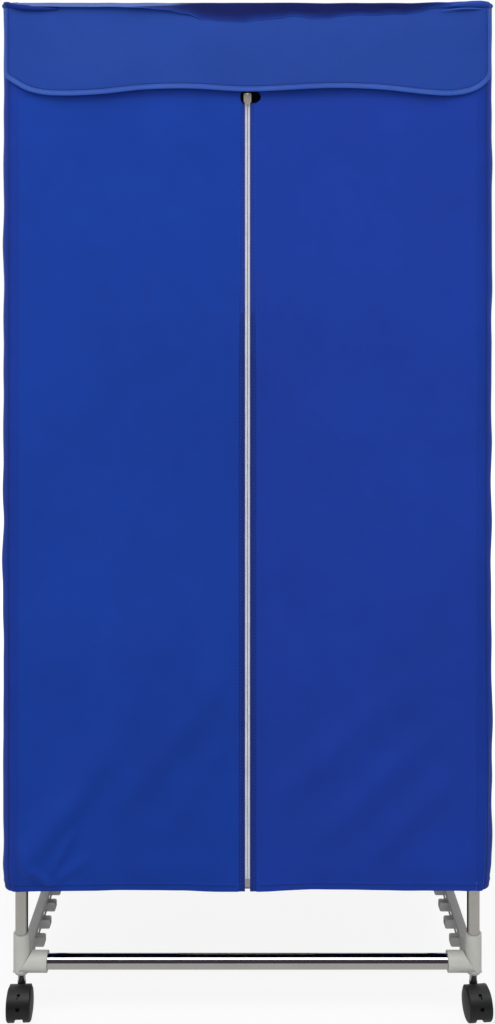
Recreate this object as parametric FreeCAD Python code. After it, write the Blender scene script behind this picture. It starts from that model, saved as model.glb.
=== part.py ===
"""Portable drying cabinet: a zipped cloth cover over a frame of chromed tubes on four castors.

Millimetres, +Z up, the front faces -Y. The origin is on the floor, at the centre of the footprint.
"""

import FreeCAD, Part
import math
import os

Vec = FreeCAD.Vector
UP = Vec(0, 0, 1)
ACROSS = Vec(1, 0, 0)
BACK = Vec(0, 1, 0)
os.makedirs("parts", exist_ok=True)

# --- cover ---
cover_width = 730.0
cover_depth = 480.0
cover_top_z = 1505.0
hem_z = 196.0
cloth = 1.6
corner_radius = 27.0
door_drop = 141.0  # from the top of the cover to the top of the doors
seam_gap = 0.4
header_notch_half = 14.0
header_notch_height = 9.0

# --- flap ---
flap_gap = 0.6
flap_top_drop = 5.0
flap_wrap_deg = 58.0
flap_trim = 2.0  # how far the flap's blank reaches below its lowest wave
flap_reach = 12.0  # how far the cutter stands out past the flap
flap_wave = [  # wavy lower edge, left to right: (share of the half width, drop from the cover's top)
    (-0.992, 107), (-0.956, 117), (-0.893, 131), (-0.795, 138.7), (-0.608, 137.7),
    (-0.416, 130.5), (-0.236, 129), (0.008, 133.3), (0.340, 128.2), (0.537, 130.4),
    (0.767, 139), (0.871, 136.7), (0.945, 126), (0.992, 106),
]

# --- zip ---
chain_width = 3.1
chain_gap = 1.2
chain_proud = 1.2
chain_below_top = 8.6
chain_above_hem = 17.5
slider_length = 14.0
slider_half = 5.6
slider_plate = 1.2
slider_clear = 0.5
slider_round = 2.5
slider_web = 0.6
slider_web_inset = 2.0
slider_room = 1.0  # notch in the door's cloth beside the slider
ear_half = 2.2
ear_thick = 0.8
ear_height = 2.0
ear_past_pin = 0.9
pull_length = 21.0
pull_thick = 1.0
pull_half = 3.1
pull_neck_half = 1.15
pull_shoulder = 5.0
pull_tip = 3.2
pull_hole_r = 1.1
pull_hole_up = 3.4
pull_pin_down = 2.4
pull_eye_r = 1.0
pull_eye_boss_r = 1.7
pull_pin_r = 0.8
pull_gap = 0.3

# --- frame ---
post_inset = 27.0
post_r = 9.5
post_wall = 0.8
tube_r = 11.0
tube_wall = 1.0
fit_clear = 0.1
sleeve_r = 12.25
sleeve_height = 61.0
end_round = 7.6
socket_r = 15.0
socket_reach = 39.0
socket_stop = 14.0
base_axis_up = 18.0  # from a base connector's closed end to its tube's axis
top_axis_up = 22.0  # the same for a top connector
post_stop_depth = 27.0
mitre_foot = (-3.3, -9.3)
mitre_head = (20.0, 21.6)
rail_socket_width = 20.0
rail_socket_round = 4.0
rail_pocket = 15.0
base_underside_z = 57.0
mid_tier_z = 790.0
stop_web = 4.0
cover_rest_gap = 0.3

# --- notched side rails ---
rail_width = 13.5
rail_height = 22.0
rail_wall = 2.0
rail_offset = 3.2  # from the post line towards the inside
cradle_count = 7
cradle_pitch = 50.0
cradle_size = 14.0
cradle_below_top = 8.3
cradle_height = 13.7
cradle_round = 3.0
cradle_lip = 1.2  # the trough's axis lies this far under its lips
window_length = 20.0
window_height = 9.0
window_drop = 2.0

# --- rods ---
rod_r = 4.5
rod_clear = 0.3
rod_end_gap = 1.5
rod_round = 1.2
mid_rod_cradles = (-2, 0, 2)
top_rod_cradles = (-2, 0, 2)
base_rod_cradles = (0, 2)

# --- castors ---
wheel_r = 23.5
wheel_inner = 6.6
tread_width = 8.6
wheel_dome = 4.4
rim_wall = 3.0
rim_round = 0.5
wheel_web = 1.5
dome_shares = ((0.36, 0.96), (0.56, 0.86), (0.88, 0.5))  # share of the dome's rise, of the radius
wheel_hub_r = 6.0
wheel_cap_r = 4.0
trail = 20.0
hood_r = 25.7
hood_wall = 1.3
hood_half = 15.5
hood_from_deg = -18.0
hood_to_deg = 162.0
hood_slots = ((44.0, 60.0, 2.2), (10.0, 21.0, 2.8))  # from, to, half-width
slot_depth = 5.0
web_half = 4.0
web_bottom_z = 15.0
axle_r = 3.0
axle_end_gap = 0.4
axle_cap_gap = 0.3
neck_r = 6.0
neck_top_z = 46.5
neck_bottom_z = 28.0
stem_r = 4.0
stem_length = 46.0
stem_end_gap = 0.5
collar_r = 5.6
running_clear = 0.06
stem_top_gap = 2.0
castor_turn_deg = {"front_left": 3.0, "front_right": 6.0, "rear_left": 5.0, "rear_right": -4.0}

# --- heater ---
heater_width = 230.0
heater_depth = 165.0
heater_back_offset = 52.0
heater_wall = 2.5
heater_round = 22.0
shell_height = 120.0
lid_height = 66.0
lid_round = 6.0
foot_r = 9.0
foot_height = 8.0
louvre_width = 4.0
louvre_pitch = 9.0
louvre_count = 11
louvre_margin = 32.0
intake_low = 44.0
intake_margin = 14.0
deck_hole_r = 60.0
fan_r = 56.0
fan_hub_r = 18.0
fan_height = 20.0
fan_blades = 7
fan_cap = 4.0
blade_root = 3.0
blade_height = 18.4
blade_thick = 1.6
blade_pitch_deg = 32.0
motor_r = 28.0
motor_height = 48.0
motor_seat = 12.0
motor_seat_wall = 4.0
shaft_r = 2.5
shaft_end_gap = 1.0
motor_round = 3.0
fan_above_motor = 8.0
element_size = 134.0
element_height = 18.0
element_fins = 14
element_frame = 6.0
fin_thick = 1.2
fin_recess = 2.0
knob_r = 19.0
knob_depth = 15.0
knob_x = 62.0
knob_up = 74.0
knob_shaft_r = 3.0
knob_shaft_reach = 10.5
knob_gap = 0.5
knob_round = 1.5
knob_end_gap = 0.3
grip_offset = 11.8
grip_half = 7.6
grip_depth = 9.0
shaft_hole_clear = 0.5
timer_size = 42.0
timer_depth = 24.0
gland_r = 6.0
gland_flange_r = 9.0
gland_bore_r = 3.4
gland_x = -84.0
gland_up = 24.0
gland_flange = 2.5
gland_nut = 3.0

# --- values worked out from the sizes above ---
half_width = cover_width / 2
half_depth = cover_depth / 2
post_x = half_width - post_inset
post_y = half_depth - post_inset
castor_reach = trail + hood_r
frame_y = (post_y + castor_reach - half_depth) / 2  # keeps the footprint centred on the origin
front_y = frame_y - half_depth
back_y = frame_y + half_depth
seam_x = half_width - corner_radius
door_top_z = cover_top_z - door_drop
flap_top_z = cover_top_z - flap_top_drop
panel_top_z = cover_top_z - cloth
flap_edge = [(share * half_width, cover_top_z - drop) for share, drop in flap_wave]
frame_top_z = cover_top_z - cloth - cover_rest_gap
base_tube_z = base_underside_z + base_axis_up
top_tube_z = frame_top_z - top_axis_up
rod_above_axis = rail_height / 2 - cradle_below_top - cradle_lip
heater_y = frame_y + heater_back_offset
heater_floor_z = base_tube_z + rod_above_axis + rod_r + rod_clear + foot_height
lid_z = heater_floor_z + shell_height
chain_top_z = door_top_z - chain_below_top
chain_low_z = hem_z + chain_above_hem
slider_z = chain_top_z + slider_clear
pull_pin_z = slider_z + slider_length - pull_pin_down
pull_pin_y = front_y - chain_proud - slider_clear - slider_plate - pull_eye_boss_r - pull_gap
chain_outer = chain_gap / 2 + chain_width
stem_top_z = base_underside_z + post_stop_depth - stem_top_gap
stem_bottom_z = stem_top_z - stem_length
axle_half = wheel_inner + tread_width - axle_end_gap
cradle_steps = [k - (cradle_count - 1) // 2 for k in range(cradle_count)]
corners = {"front_left": (-1, -1), "front_right": (1, -1), "rear_left": (-1, 1), "rear_right": (1, 1)}


# --- small helpers ---
def block(x0, x1, y0, y1, z0, z1):
    return Part.makeBox(x1 - x0, y1 - y0, z1 - z0, Vec(x0, y0, z0))


def round_bar(radius, start, direction, length):
    return Part.makeCylinder(radius, length, start, direction)


def pipe(radius, wall, start, direction, length):
    return round_bar(radius, start, direction, length).cut(
        round_bar(radius - wall, start, direction, length)
    )


def arc(a, b, c):
    return Part.Arc(a, b, c).toShape()


def line(a, b):
    return Part.LineSegment(a, b).toShape()


def edge_through(points, lift=Vec(0, 0, 0)):
    """A straight edge through two points or an arc through three, raised by lift."""
    moved = [p + lift for p in points]
    return arc(*moved) if len(moved) == 3 else line(*moved)


def edges_where(shape, test):
    return [e for e in shape.Edges if test(e)]


def runs_along(edge, direction):
    if len(edge.Vertexes) < 2 or edge.Curve.TypeId != "Part::GeomLine":
        return False
    span = edge.Vertexes[1].Point - edge.Vertexes[0].Point
    return abs(abs(span.dot(direction)) - span.Length) < 1e-6


def fuse_all(shapes):
    made = shapes[0].fuse(shapes[1:]) if len(shapes) > 1 else shapes[0]
    return made.removeSplitter()


def save(name, *solids):
    shape = solids[0] if len(solids) == 1 else Part.makeCompound(list(solids))
    shape.exportStep("parts/" + name + ".step")


def at_corner(shape, side, end):
    """A piece made for the front left corner, mirrored and moved to the corner side, end (-1 or 1)."""
    if side > 0:
        shape = shape.mirror(Vec(0, 0, 0), ACROSS)
    if end > 0:
        shape = shape.mirror(Vec(0, 0, 0), BACK)
    shape.translate(Vec(side * post_x, frame_y + end * post_y, 0))
    return shape


# --- connectors, posts, tubes ---
def connector_body(low, high, tube_z, flip):
    """The outside of a connector at (0, 0), its sockets towards +X and +Y."""
    sleeve = round_bar(sleeve_r, Vec(0, 0, low), UP, high - low)
    bar = round_bar(socket_r, Vec(-socket_r, 0, tube_z), ACROSS, socket_r + socket_reach)
    outline = [
        mitre_foot, mitre_head, (socket_reach, mitre_head[1]),
        (socket_reach, -socket_r - 1), (-socket_r, -socket_r - 1), mitre_foot,
    ]
    mitre = Part.makePolygon([Vec(x, -socket_r - 1, tube_z + flip * z) for x, z in outline])
    bar = bar.common(Part.Face(mitre).extrude(Vec(0, 2 * socket_r + 2, 0)))
    mid = rail_offset
    pocket = block(mid - rail_socket_width / 2, mid + rail_socket_width / 2, 0, socket_reach,
                   tube_z - socket_r, tube_z + socket_r)
    pocket = pocket.makeFillet(rail_socket_round, edges_where(pocket, lambda e: runs_along(e, BACK)))
    return sleeve, bar, pocket


def hollow_sockets(body, tube_z):
    tube_hole = round_bar(tube_r + fit_clear, Vec(socket_stop, 0, tube_z), ACROSS, socket_reach)
    half = rail_width / 2 + fit_clear
    rail_hole = block(rail_offset - half, rail_offset + half, socket_reach - rail_pocket,
                      socket_reach + 1, tube_z - rail_height / 2 - fit_clear,
                      tube_z + rail_height / 2 + fit_clear)
    return body.cut([tube_hole, rail_hole])


def end_connector(closed_z, flip, axis_up):
    """A connector with one closed, rounded end at closed_z: flip 1 for the base, -1 for the top."""
    open_z = closed_z + flip * sleeve_height
    low, high = min(closed_z, open_z), max(closed_z, open_z)
    tube_z = closed_z + flip * axis_up
    sleeve, bar, pocket = connector_body(low, high, tube_z, flip)
    rim = edges_where(sleeve, lambda e: abs(e.BoundBox.ZMin - closed_z) < 1e-6
                      and abs(e.BoundBox.ZMax - closed_z) < 1e-6)
    sleeve = sleeve.makeFillet(end_round, rim)
    body = fuse_all([sleeve, bar, pocket])
    body = hollow_sockets(body, tube_z)
    stop_z = closed_z + flip * post_stop_depth
    bore_low, bore_high = min(stop_z, open_z), max(stop_z, open_z)
    return body.cut(round_bar(post_r + fit_clear, Vec(0, 0, bore_low), UP, bore_high - bore_low))


def base_connector():
    bore = round_bar(stem_r + fit_clear, Vec(0, 0, base_underside_z - 1), UP,
                     stem_top_z - base_underside_z + 2)
    return end_connector(base_underside_z, 1, base_axis_up).cut(bore)


def mid_connector():
    low, high = mid_tier_z - sleeve_height / 2, mid_tier_z + sleeve_height / 2
    body = hollow_sockets(fuse_all(connector_body(low, high, mid_tier_z, 1)), mid_tier_z)
    room = sleeve_height / 2 - stop_web / 2
    bores = [round_bar(post_r + fit_clear, Vec(0, 0, z), UP, room)
             for z in (low, mid_tier_z + stop_web / 2)]
    return body.cut(bores)


for corner, (side, end) in corners.items():
    save("base_corner_" + corner, at_corner(base_connector(), side, end))
save("mid_corners", *[at_corner(mid_connector(), *c) for c in corners.values()])
save("top_corners", *[at_corner(end_connector(frame_top_z, -1, top_axis_up), *c) for c in corners.values()])


def posts(low, high):
    return [at_corner(pipe(post_r, post_wall, Vec(0, 0, low), UP, high - low), *c)
            for c in corners.values()]


save("lower_posts", *posts(base_underside_z + post_stop_depth, mid_tier_z - stop_web / 2))
save("upper_posts", *posts(mid_tier_z + stop_web / 2, frame_top_z - post_stop_depth))

tube_half = post_x - socket_stop - fit_clear


def cross_tube(end, z):
    return pipe(tube_r, tube_wall, Vec(-tube_half, frame_y + end * post_y, z), ACROSS, 2 * tube_half)


save("base_tube_front", cross_tube(-1, base_tube_z))
save("base_tube_rear", cross_tube(1, base_tube_z))
save("mid_tubes", cross_tube(-1, mid_tier_z), cross_tube(1, mid_tier_z))
save("top_tubes", cross_tube(-1, top_tube_z), cross_tube(1, top_tube_z))


# --- notched side rails and rods ---
rail_half = post_y - socket_reach + rail_pocket - fit_clear


def cradle(y):
    """One cradle on the rail's inner face, for a rail whose centre is at (0, 0, 0)."""
    root, top = rail_width / 2, rail_height / 2 - cradle_below_top
    tooth = block(root, root + cradle_size, y - cradle_size / 2, y + cradle_size / 2,
                  top - cradle_height, top)
    tooth = tooth.makeFillet(cradle_round, edges_where(
        tooth, lambda e: runs_along(e, BACK) and e.BoundBox.XMin > root + 1))
    seat_r = rod_r + rod_clear
    trough = round_bar(seat_r, Vec(root, y, rod_above_axis), ACROSS, cradle_size + 1)
    mouth = block(root, root + cradle_size + 1, y - seat_r, y + seat_r, rod_above_axis, top + 1)
    return tooth.cut([trough, mouth])


def side_rail():
    half, tall = rail_width / 2, rail_height / 2
    rail = block(-half, half, -rail_half, rail_half, -tall, tall)
    rail = rail.cut(block(-half + rail_wall, half - rail_wall, -rail_half - 1, rail_half + 1,
                          -tall - 1, tall - rail_wall))
    window_top = rail_height / 2 - cradle_below_top - window_drop
    windows = [block(half - rail_wall - 1, half + 1, y - window_length / 2, y + window_length / 2,
                     window_top - window_height, window_top)
               for y in [(k + 0.5) * cradle_pitch for k in cradle_steps[:-1]]]
    return fuse_all([rail.cut(windows)] + [cradle(k * cradle_pitch) for k in cradle_steps])


for tier, z in (("base", base_tube_z), ("mid", mid_tier_z), ("top", top_tube_z)):
    for name, side in (("left", -1), ("right", 1)):
        rail = side_rail()
        if side > 0:
            rail = rail.mirror(Vec(0, 0, 0), ACROSS)
        rail.translate(Vec(side * (post_x - rail_offset), frame_y, z))
        save(tier + "_rail_" + name, rail)

rod_half = post_x - rail_offset - rail_width / 2 - rod_end_gap


def rod(step, z):
    start = Vec(-rod_half, frame_y + step * cradle_pitch, z + rod_above_axis)
    bar = round_bar(rod_r, start, ACROSS, 2 * rod_half)
    return bar.makeFillet(rod_round, [e for e in bar.Edges if e.Curve.TypeId == "Part::GeomCircle"])


for name, step in zip(("front", "rear"), base_rod_cradles):
    save("base_rod_" + name, rod(step, base_tube_z))
for number, step in enumerate(mid_rod_cradles, 1):
    save("mid_rod_%d" % number, rod(step, mid_tier_z))
for number, step in enumerate(top_rod_cradles, 1):
    save("top_rod_%d" % number, rod(step, top_tube_z))


# --- castors, made with the stem on the Z axis and the wheels towards -Y ---
def hood_point(radius, degrees, x):
    a = math.radians(degrees)
    return Vec(x, -trail - radius * math.cos(a), wheel_r + radius * math.sin(a))


def hood():
    inner = hood_r - hood_wall
    mid = (hood_from_deg + hood_to_deg) / 2
    x = -hood_half
    ring = Part.Wire([
        arc(*[hood_point(hood_r, d, x) for d in (hood_from_deg, mid, hood_to_deg)]),
        line(hood_point(hood_r, hood_to_deg, x), hood_point(inner, hood_to_deg, x)),
        arc(*[hood_point(inner, d, x) for d in (hood_to_deg, mid, hood_from_deg)]),
        line(hood_point(inner, hood_from_deg, x), hood_point(hood_r, hood_from_deg, x)),
    ])
    return Part.Face(ring).extrude(Vec(2 * hood_half, 0, 0))


def hood_cuts():
    floor = hood_r - slot_depth
    cuts = []
    for low, high, half in hood_slots:
        slot = Part.makePolygon([
            hood_point(floor, low, -half), hood_point(hood_r + 1, low, -half),
            hood_point(hood_r + 1, high, -half), hood_point(floor, high, -half),
            hood_point(floor, low, -half),
        ])
        cuts.append(Part.Face(slot).extrude(Vec(2 * half, 0, 0)))
    return cuts


def castor_housing():
    web = round_bar(hood_r - hood_wall / 2, Vec(-web_half, -trail, wheel_r), ACROSS, 2 * web_half)
    web = web.cut(block(-hood_r, hood_r, -trail - hood_r, -trail + hood_r, -hood_r, web_bottom_z))
    neck = round_bar(neck_r, Vec(0, 0, neck_bottom_z), UP, neck_top_z - neck_bottom_z)
    body = fuse_all([hood(), web, neck])
    stem_bore = round_bar(stem_r + running_clear, Vec(0, 0, stem_bottom_z - stem_end_gap), UP, stem_length)
    axle_bore = round_bar(axle_r + fit_clear / 2, Vec(-web_half - 1, -trail, wheel_r), ACROSS,
                          2 * web_half + 2)
    return body.cut([stem_bore, axle_bore] + hood_cuts())


def axle():
    return round_bar(axle_r, Vec(-axle_half, -trail, wheel_r), ACROSS, 2 * axle_half)


def wheel(side):
    """A dished wheel on the axle, side -1 or 1."""
    bore = axle_r + running_clear
    tread = wheel_inner + tread_width
    outer = tread + wheel_dome
    rim_r = wheel_r - rim_wall
    inner_end = axle_half + axle_cap_gap
    profile = [
        (inner_end, 0), (inner_end, bore), (wheel_inner, bore), (wheel_inner, wheel_hub_r),
        (tread - wheel_web, wheel_hub_r), (tread - wheel_web, rim_r), (wheel_inner, rim_r),
        (wheel_inner, wheel_r - rim_round), (wheel_inner + rim_round, wheel_r), (tread, wheel_r),
    ]
    profile += [(tread + wheel_dome * rise, wheel_r * share) for rise, share in dome_shares]
    profile += [(outer, wheel_cap_r), (outer, 0)]
    points = [Vec(x, -trail, wheel_r + r) for x, r in profile]
    flat, domed = points[:10], points[9:14]
    edges = [line(a, b) for a, b in zip(flat, flat[1:])]
    edges += [arc(*domed[:3]), arc(*domed[2:]), line(points[13], points[14]), line(points[14], points[0])]
    face = Part.Face(Part.Wire(edges))
    turned = face.revolve(Vec(0, -trail, wheel_r), ACROSS, 360)
    return turned if side > 0 else turned.mirror(Vec(0, 0, 0), ACROSS)


def castor_stem():
    stem = round_bar(stem_r, Vec(0, 0, stem_bottom_z), UP, stem_length)
    collar = round_bar(collar_r, Vec(0, 0, neck_top_z), UP, base_underside_z - neck_top_z)
    return fuse_all([stem, collar])


def place_castor(shape, corner):
    side, end = corners[corner]
    shape.rotate(Vec(0, 0, 0), UP, castor_turn_deg[corner])
    shape.translate(Vec(side * post_x, frame_y + end * post_y, 0))
    return shape


save("castor_stems", *[place_castor(castor_stem(), corner) for corner in corners])
for corner in corners:
    save("castor_housing_" + corner, place_castor(castor_housing(), corner),
         place_castor(axle(), corner))
    save("castor_wheel_left_" + corner, place_castor(wheel(-1), corner))
    save("castor_wheel_right_" + corner, place_castor(wheel(1), corner))


# --- cloth panels: flat, with the cover's rounded corners ---
def panel_section(z, outer_edges, inner_edges):
    """A closed wire at height z between the lines and arcs of the outer face and of the inner face."""
    lift = Vec(0, 0, z)
    front = [edge_through(points, lift) for points in outer_edges]
    back = [edge_through(points[::-1], lift) for points in inner_edges[::-1]]
    first = line(outer_edges[-1][-1] + lift, inner_edges[-1][-1] + lift)
    last = line(inner_edges[0][0] + lift, outer_edges[0][0] + lift)
    return Part.Wire(front + [first] + back + [last])


def upright_panel(outer_edges, inner_edges, low, high):
    return Part.Face(panel_section(low, outer_edges, inner_edges)).extrude(UP * (high - low))


def corner_arc(x, y, radius, from_deg, to_deg):
    """Three points of an arc about the corner's centre (x, y)."""
    angles = [math.radians(d) for d in (from_deg, (from_deg + to_deg) / 2, to_deg)]
    return tuple(Vec(x + radius * math.cos(a), y + radius * math.sin(a), 0) for a in angles)


def left_side_face(radius):
    """The left side round both of its corners, as seen from above."""
    front_c, back_c = front_y + corner_radius, back_y - corner_radius
    x = -seam_x - radius
    return [
        corner_arc(-seam_x, front_c, radius, 270, 180),
        (Vec(x, front_c, 0), Vec(x, back_c, 0)),
        corner_arc(-seam_x, back_c, radius, 180, 90),
    ]


left_side = upright_panel(left_side_face(corner_radius), left_side_face(corner_radius - cloth),
                          hem_z, panel_top_z)
save("cover_side_left", left_side)
save("cover_side_right", left_side.mirror(Vec(0, 0, 0), ACROSS))

panel_edge = seam_x - seam_gap
save("cover_back", block(-panel_edge, panel_edge, back_y - cloth, back_y, hem_z, panel_top_z))

top_panel = block(-half_width, half_width, front_y, back_y, panel_top_z, cover_top_z)
top_panel = top_panel.makeFillet(corner_radius, edges_where(top_panel, lambda e: runs_along(e, UP)))
save("cover_top", top_panel)

header = block(-panel_edge, panel_edge, front_y, front_y + cloth, door_top_z + seam_gap, panel_top_z)
header = header.cut(block(-header_notch_half, header_notch_half, front_y - 1, front_y + cloth + 1,
                          door_top_z, door_top_z + header_notch_height))
save("cover_header", header)

left_door = block(-panel_edge, -chain_outer, front_y, front_y + cloth, hem_z, door_top_z)
right_door = left_door.mirror(Vec(0, 0, 0), ACROSS)
clear_x = slider_half + slider_room
right_door = right_door.cut([
    block(0, clear_x, front_y - corner_radius, front_y + corner_radius, low, high)
    for low, high in ((chain_top_z, door_top_z + 1), (hem_z - 1, chain_low_z))])
save("door_left", left_door)
save("door_right", right_door)


# --- flap ---
def flap_shell():
    y = front_y + corner_radius
    bands = []
    for r in (corner_radius + flap_gap + cloth, corner_radius + flap_gap):
        bands.append([
            corner_arc(-seam_x, y, r, 270 - flap_wrap_deg, 270),
            (Vec(-seam_x, y - r, 0), Vec(seam_x, y - r, 0)),
            corner_arc(seam_x, y, r, 270, 270 + flap_wrap_deg),
        ])
    low = min(z for _, z in flap_edge) - flap_trim
    return upright_panel(*bands, low, flap_top_z)


def flap_outline():
    y = front_y - flap_reach
    low = [Vec(x, y, z) for x, z in flap_edge]
    curve = Part.BSplineCurve()
    curve.interpolate(low)
    x, top = half_width + flap_reach, flap_top_z + 1
    around = [low[-1], Vec(x, y, low[-1].z + flap_reach), Vec(x, y, top), Vec(-x, y, top),
              Vec(-x, y, low[0].z + flap_reach), low[0]]
    edges = [curve.toShape()] + [line(a, b) for a, b in zip(around, around[1:])]
    return Part.Face(Part.Wire(edges)).extrude(BACK * (flap_reach + 2 * corner_radius))


save("front_flap", flap_shell().common(flap_outline()))

# --- zip ---
for name, side in (("left", -1), ("right", 1)):
    near, far = sorted((side * chain_gap / 2, side * chain_outer))
    save("zip_chain_" + name, block(near, far, front_y - chain_proud, front_y + cloth,
                                    chain_low_z, chain_top_z))


def zip_slider():
    face = front_y - chain_proud - slider_clear
    rear = front_y + cloth + slider_clear
    top = slider_z + slider_length
    plates = [
        block(-slider_half, slider_half, face - slider_plate, face, slider_z, top),
        block(-slider_half, slider_half, rear, rear + slider_plate, slider_z, top),
    ]
    plates = [p.makeFillet(slider_round, edges_where(p, lambda e: runs_along(e, BACK))) for p in plates]
    sunk = slider_plate / 2
    web = block(-slider_web / 2, slider_web / 2, face - sunk, rear + sunk, slider_z + slider_web_inset,
                top - slider_web_inset)
    ears = [block(x, x + ear_thick, pull_pin_y - ear_past_pin, face - sunk,
                  pull_pin_z - ear_height / 2, pull_pin_z + ear_height / 2)
            for x in (-ear_half, ear_half - ear_thick)]
    pin = round_bar(pull_pin_r, Vec(-ear_half, pull_pin_y, pull_pin_z), ACROSS, 2 * ear_half)
    return fuse_all(plates + [web] + ears + [pin])


def pull_tab():
    y = pull_pin_y - pull_thick / 2
    top, low = pull_pin_z + pull_eye_boss_r, pull_pin_z + pull_eye_boss_r - pull_length
    wide, slim = pull_half, pull_neck_half
    shoulder, tip = top - pull_shoulder, low + pull_tip
    edges = [
        line(Vec(-slim, y, pull_pin_z), Vec(-slim, y, shoulder)),
        line(Vec(-slim, y, shoulder), Vec(-wide, y, tip)),
        arc(Vec(-wide, y, tip), Vec(0, y, low), Vec(wide, y, tip)),
        line(Vec(wide, y, tip), Vec(slim, y, shoulder)),
        line(Vec(slim, y, shoulder), Vec(slim, y, pull_pin_z)),
        arc(Vec(slim, y, pull_pin_z), Vec(0, y, top), Vec(-slim, y, pull_pin_z)),
    ]
    tab = Part.Face(Part.Wire(edges)).extrude(BACK * pull_thick)
    eye_boss = round_bar(pull_eye_boss_r, Vec(-slim, pull_pin_y, pull_pin_z), ACROSS, 2 * slim)
    eye = round_bar(pull_eye_r, Vec(-wide, pull_pin_y, pull_pin_z), ACROSS, 2 * wide)
    hole = round_bar(pull_hole_r, Vec(0, y - 1, low + pull_hole_up), BACK, pull_thick + 2)
    return fuse_all([tab, eye_boss]).cut([eye, hole])


save("zip_slider", zip_slider())
save("zip_pull", pull_tab())


# --- heater unit, standing on the two base rods ---
def rounded_case(z, height, shrink):
    half_x, half_y = heater_width / 2 - shrink, heater_depth / 2 - shrink
    case = block(-half_x, half_x, heater_y - half_y, heater_y + half_y, z, z + height)
    return case.makeFillet(heater_round - shrink, edges_where(case, lambda e: runs_along(e, UP)))


def grille_slots(count, pitch, make):
    return [make((k - (count - 1) / 2) * pitch) for k in range(count)]


heater_front = heater_y - heater_depth / 2
heater_back = heater_y + heater_depth / 2
motor_z = heater_floor_z + heater_wall + motor_seat
fan_z = motor_z + motor_height + fan_above_motor
knob_z = heater_floor_z + knob_up


def heater_shell():
    shell = rounded_case(heater_floor_z, shell_height, 0)
    inside = rounded_case(heater_floor_z + heater_wall, shell_height, heater_wall)
    seat = pipe(motor_r, motor_seat_wall, Vec(0, heater_y, heater_floor_z + heater_wall / 2), UP,
                heater_wall / 2 + motor_seat)
    shell = fuse_all([shell.cut(inside), seat])
    intake = grille_slots(louvre_count, louvre_pitch, lambda x: block(
        x - louvre_width / 2, x + louvre_width / 2, heater_back - heater_wall - 1, heater_back + 1,
        heater_floor_z + intake_low, lid_z - intake_margin))
    shaft_hole = round_bar(knob_shaft_r + shaft_hole_clear, Vec(knob_x, heater_front - 1, knob_z), BACK,
                           heater_wall + 2)
    gland_hole = round_bar(gland_r, Vec(gland_x, heater_back - heater_wall - 1,
                                        heater_floor_z + gland_up), BACK, heater_wall + 2)
    return shell.cut(intake + [shaft_hole, gland_hole])


def heater_lid():
    lid = rounded_case(lid_z, lid_height, 0)
    top_edges = edges_where(lid, lambda e: abs(e.BoundBox.ZMin - lid_z - lid_height) < 1e-6)
    lid = lid.makeFillet(lid_round, top_edges)
    lid = lid.cut(rounded_case(lid_z + heater_wall, lid_height - 2 * heater_wall, heater_wall))
    half_x = heater_width / 2 - louvre_margin
    outlet = grille_slots(louvre_count, louvre_pitch, lambda y: block(
        -half_x, half_x, heater_y + y - louvre_width / 2, heater_y + y + louvre_width / 2,
        lid_z + lid_height - heater_wall - 2, lid_z + lid_height + 1))
    deck_hole = round_bar(deck_hole_r, Vec(0, heater_y, lid_z - 1), UP, heater_wall + 2)
    return lid.cut(outlet + [deck_hole])


def heater_fan():
    hub = round_bar(fan_hub_r, Vec(0, heater_y, fan_z), UP, fan_height)
    blades = []
    for k in range(fan_blades):
        blade = block(fan_hub_r - blade_root, fan_r, -blade_thick / 2, blade_thick / 2,
                      -blade_height / 2, blade_height / 2)
        blade.rotate(Vec(0, 0, 0), ACROSS, blade_pitch_deg)
        blade.rotate(Vec(0, 0, 0), UP, 360.0 * k / fan_blades)
        blade.translate(Vec(0, heater_y, fan_z + fan_height / 2))
        blades.append(blade)
    fan = fuse_all([hub] + blades)
    return fan.cut(round_bar(shaft_r + running_clear, Vec(0, heater_y, fan_z - 1), UP,
                             fan_height - fan_cap + 1))


def heater_motor():
    can = round_bar(motor_r, Vec(0, heater_y, motor_z), UP, motor_height)
    can = can.makeFillet(motor_round, [e for e in can.Edges if e.Curve.TypeId == "Part::GeomCircle"
                               and e.BoundBox.ZMin > motor_z + 1])
    shaft_top_z = fan_z + fan_height - fan_cap - shaft_end_gap
    shaft = round_bar(shaft_r, Vec(0, heater_y, motor_z), UP, shaft_top_z - motor_z)
    return fuse_all([can, shaft])


def heater_element():
    half = element_size / 2
    z = lid_z + heater_wall
    frame = block(-half, half, heater_y - half, heater_y + half, z, z + element_height)
    inner = half - element_frame
    frame = frame.cut(block(-inner, inner, heater_y - inner, heater_y + inner, z - 1,
                            z + element_height + 1))
    fins = grille_slots(element_fins, 2 * inner / element_fins, lambda x: block(
        x - fin_thick / 2, x + fin_thick / 2, heater_y - inner - 1, heater_y + inner + 1,
        z + fin_recess, z + element_height - fin_recess))
    return fuse_all([frame] + fins)


def heater_timer():
    half = timer_size / 2
    inner_face = heater_front + heater_wall
    case = block(knob_x - half, knob_x + half, inner_face, inner_face + timer_depth,
                 knob_z - half, knob_z + half)
    shaft = round_bar(knob_shaft_r, Vec(knob_x, heater_front - knob_shaft_reach, knob_z), BACK,
                      knob_shaft_reach + heater_wall + 2)
    return fuse_all([case, shaft])


def heater_knob():
    face = heater_front - knob_gap
    knob = round_bar(knob_r, Vec(knob_x, face - knob_depth, knob_z), BACK, knob_depth)
    knob = knob.makeFillet(knob_round, [e for e in knob.Edges if e.Curve.TypeId == "Part::GeomCircle"
                                        and e.BoundBox.YMax < face - 1])
    grips = [block(x - grip_half, x + grip_half, face - knob_depth - 1, face - knob_depth + grip_depth,
                   knob_z - knob_r, knob_z + knob_r)
             for x in (knob_x - grip_offset, knob_x + grip_offset)]
    bore = round_bar(knob_shaft_r + running_clear, Vec(
        knob_x, heater_front - knob_shaft_reach - knob_end_gap, knob_z), BACK, knob_depth)
    return knob.cut(grips + [bore])


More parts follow.
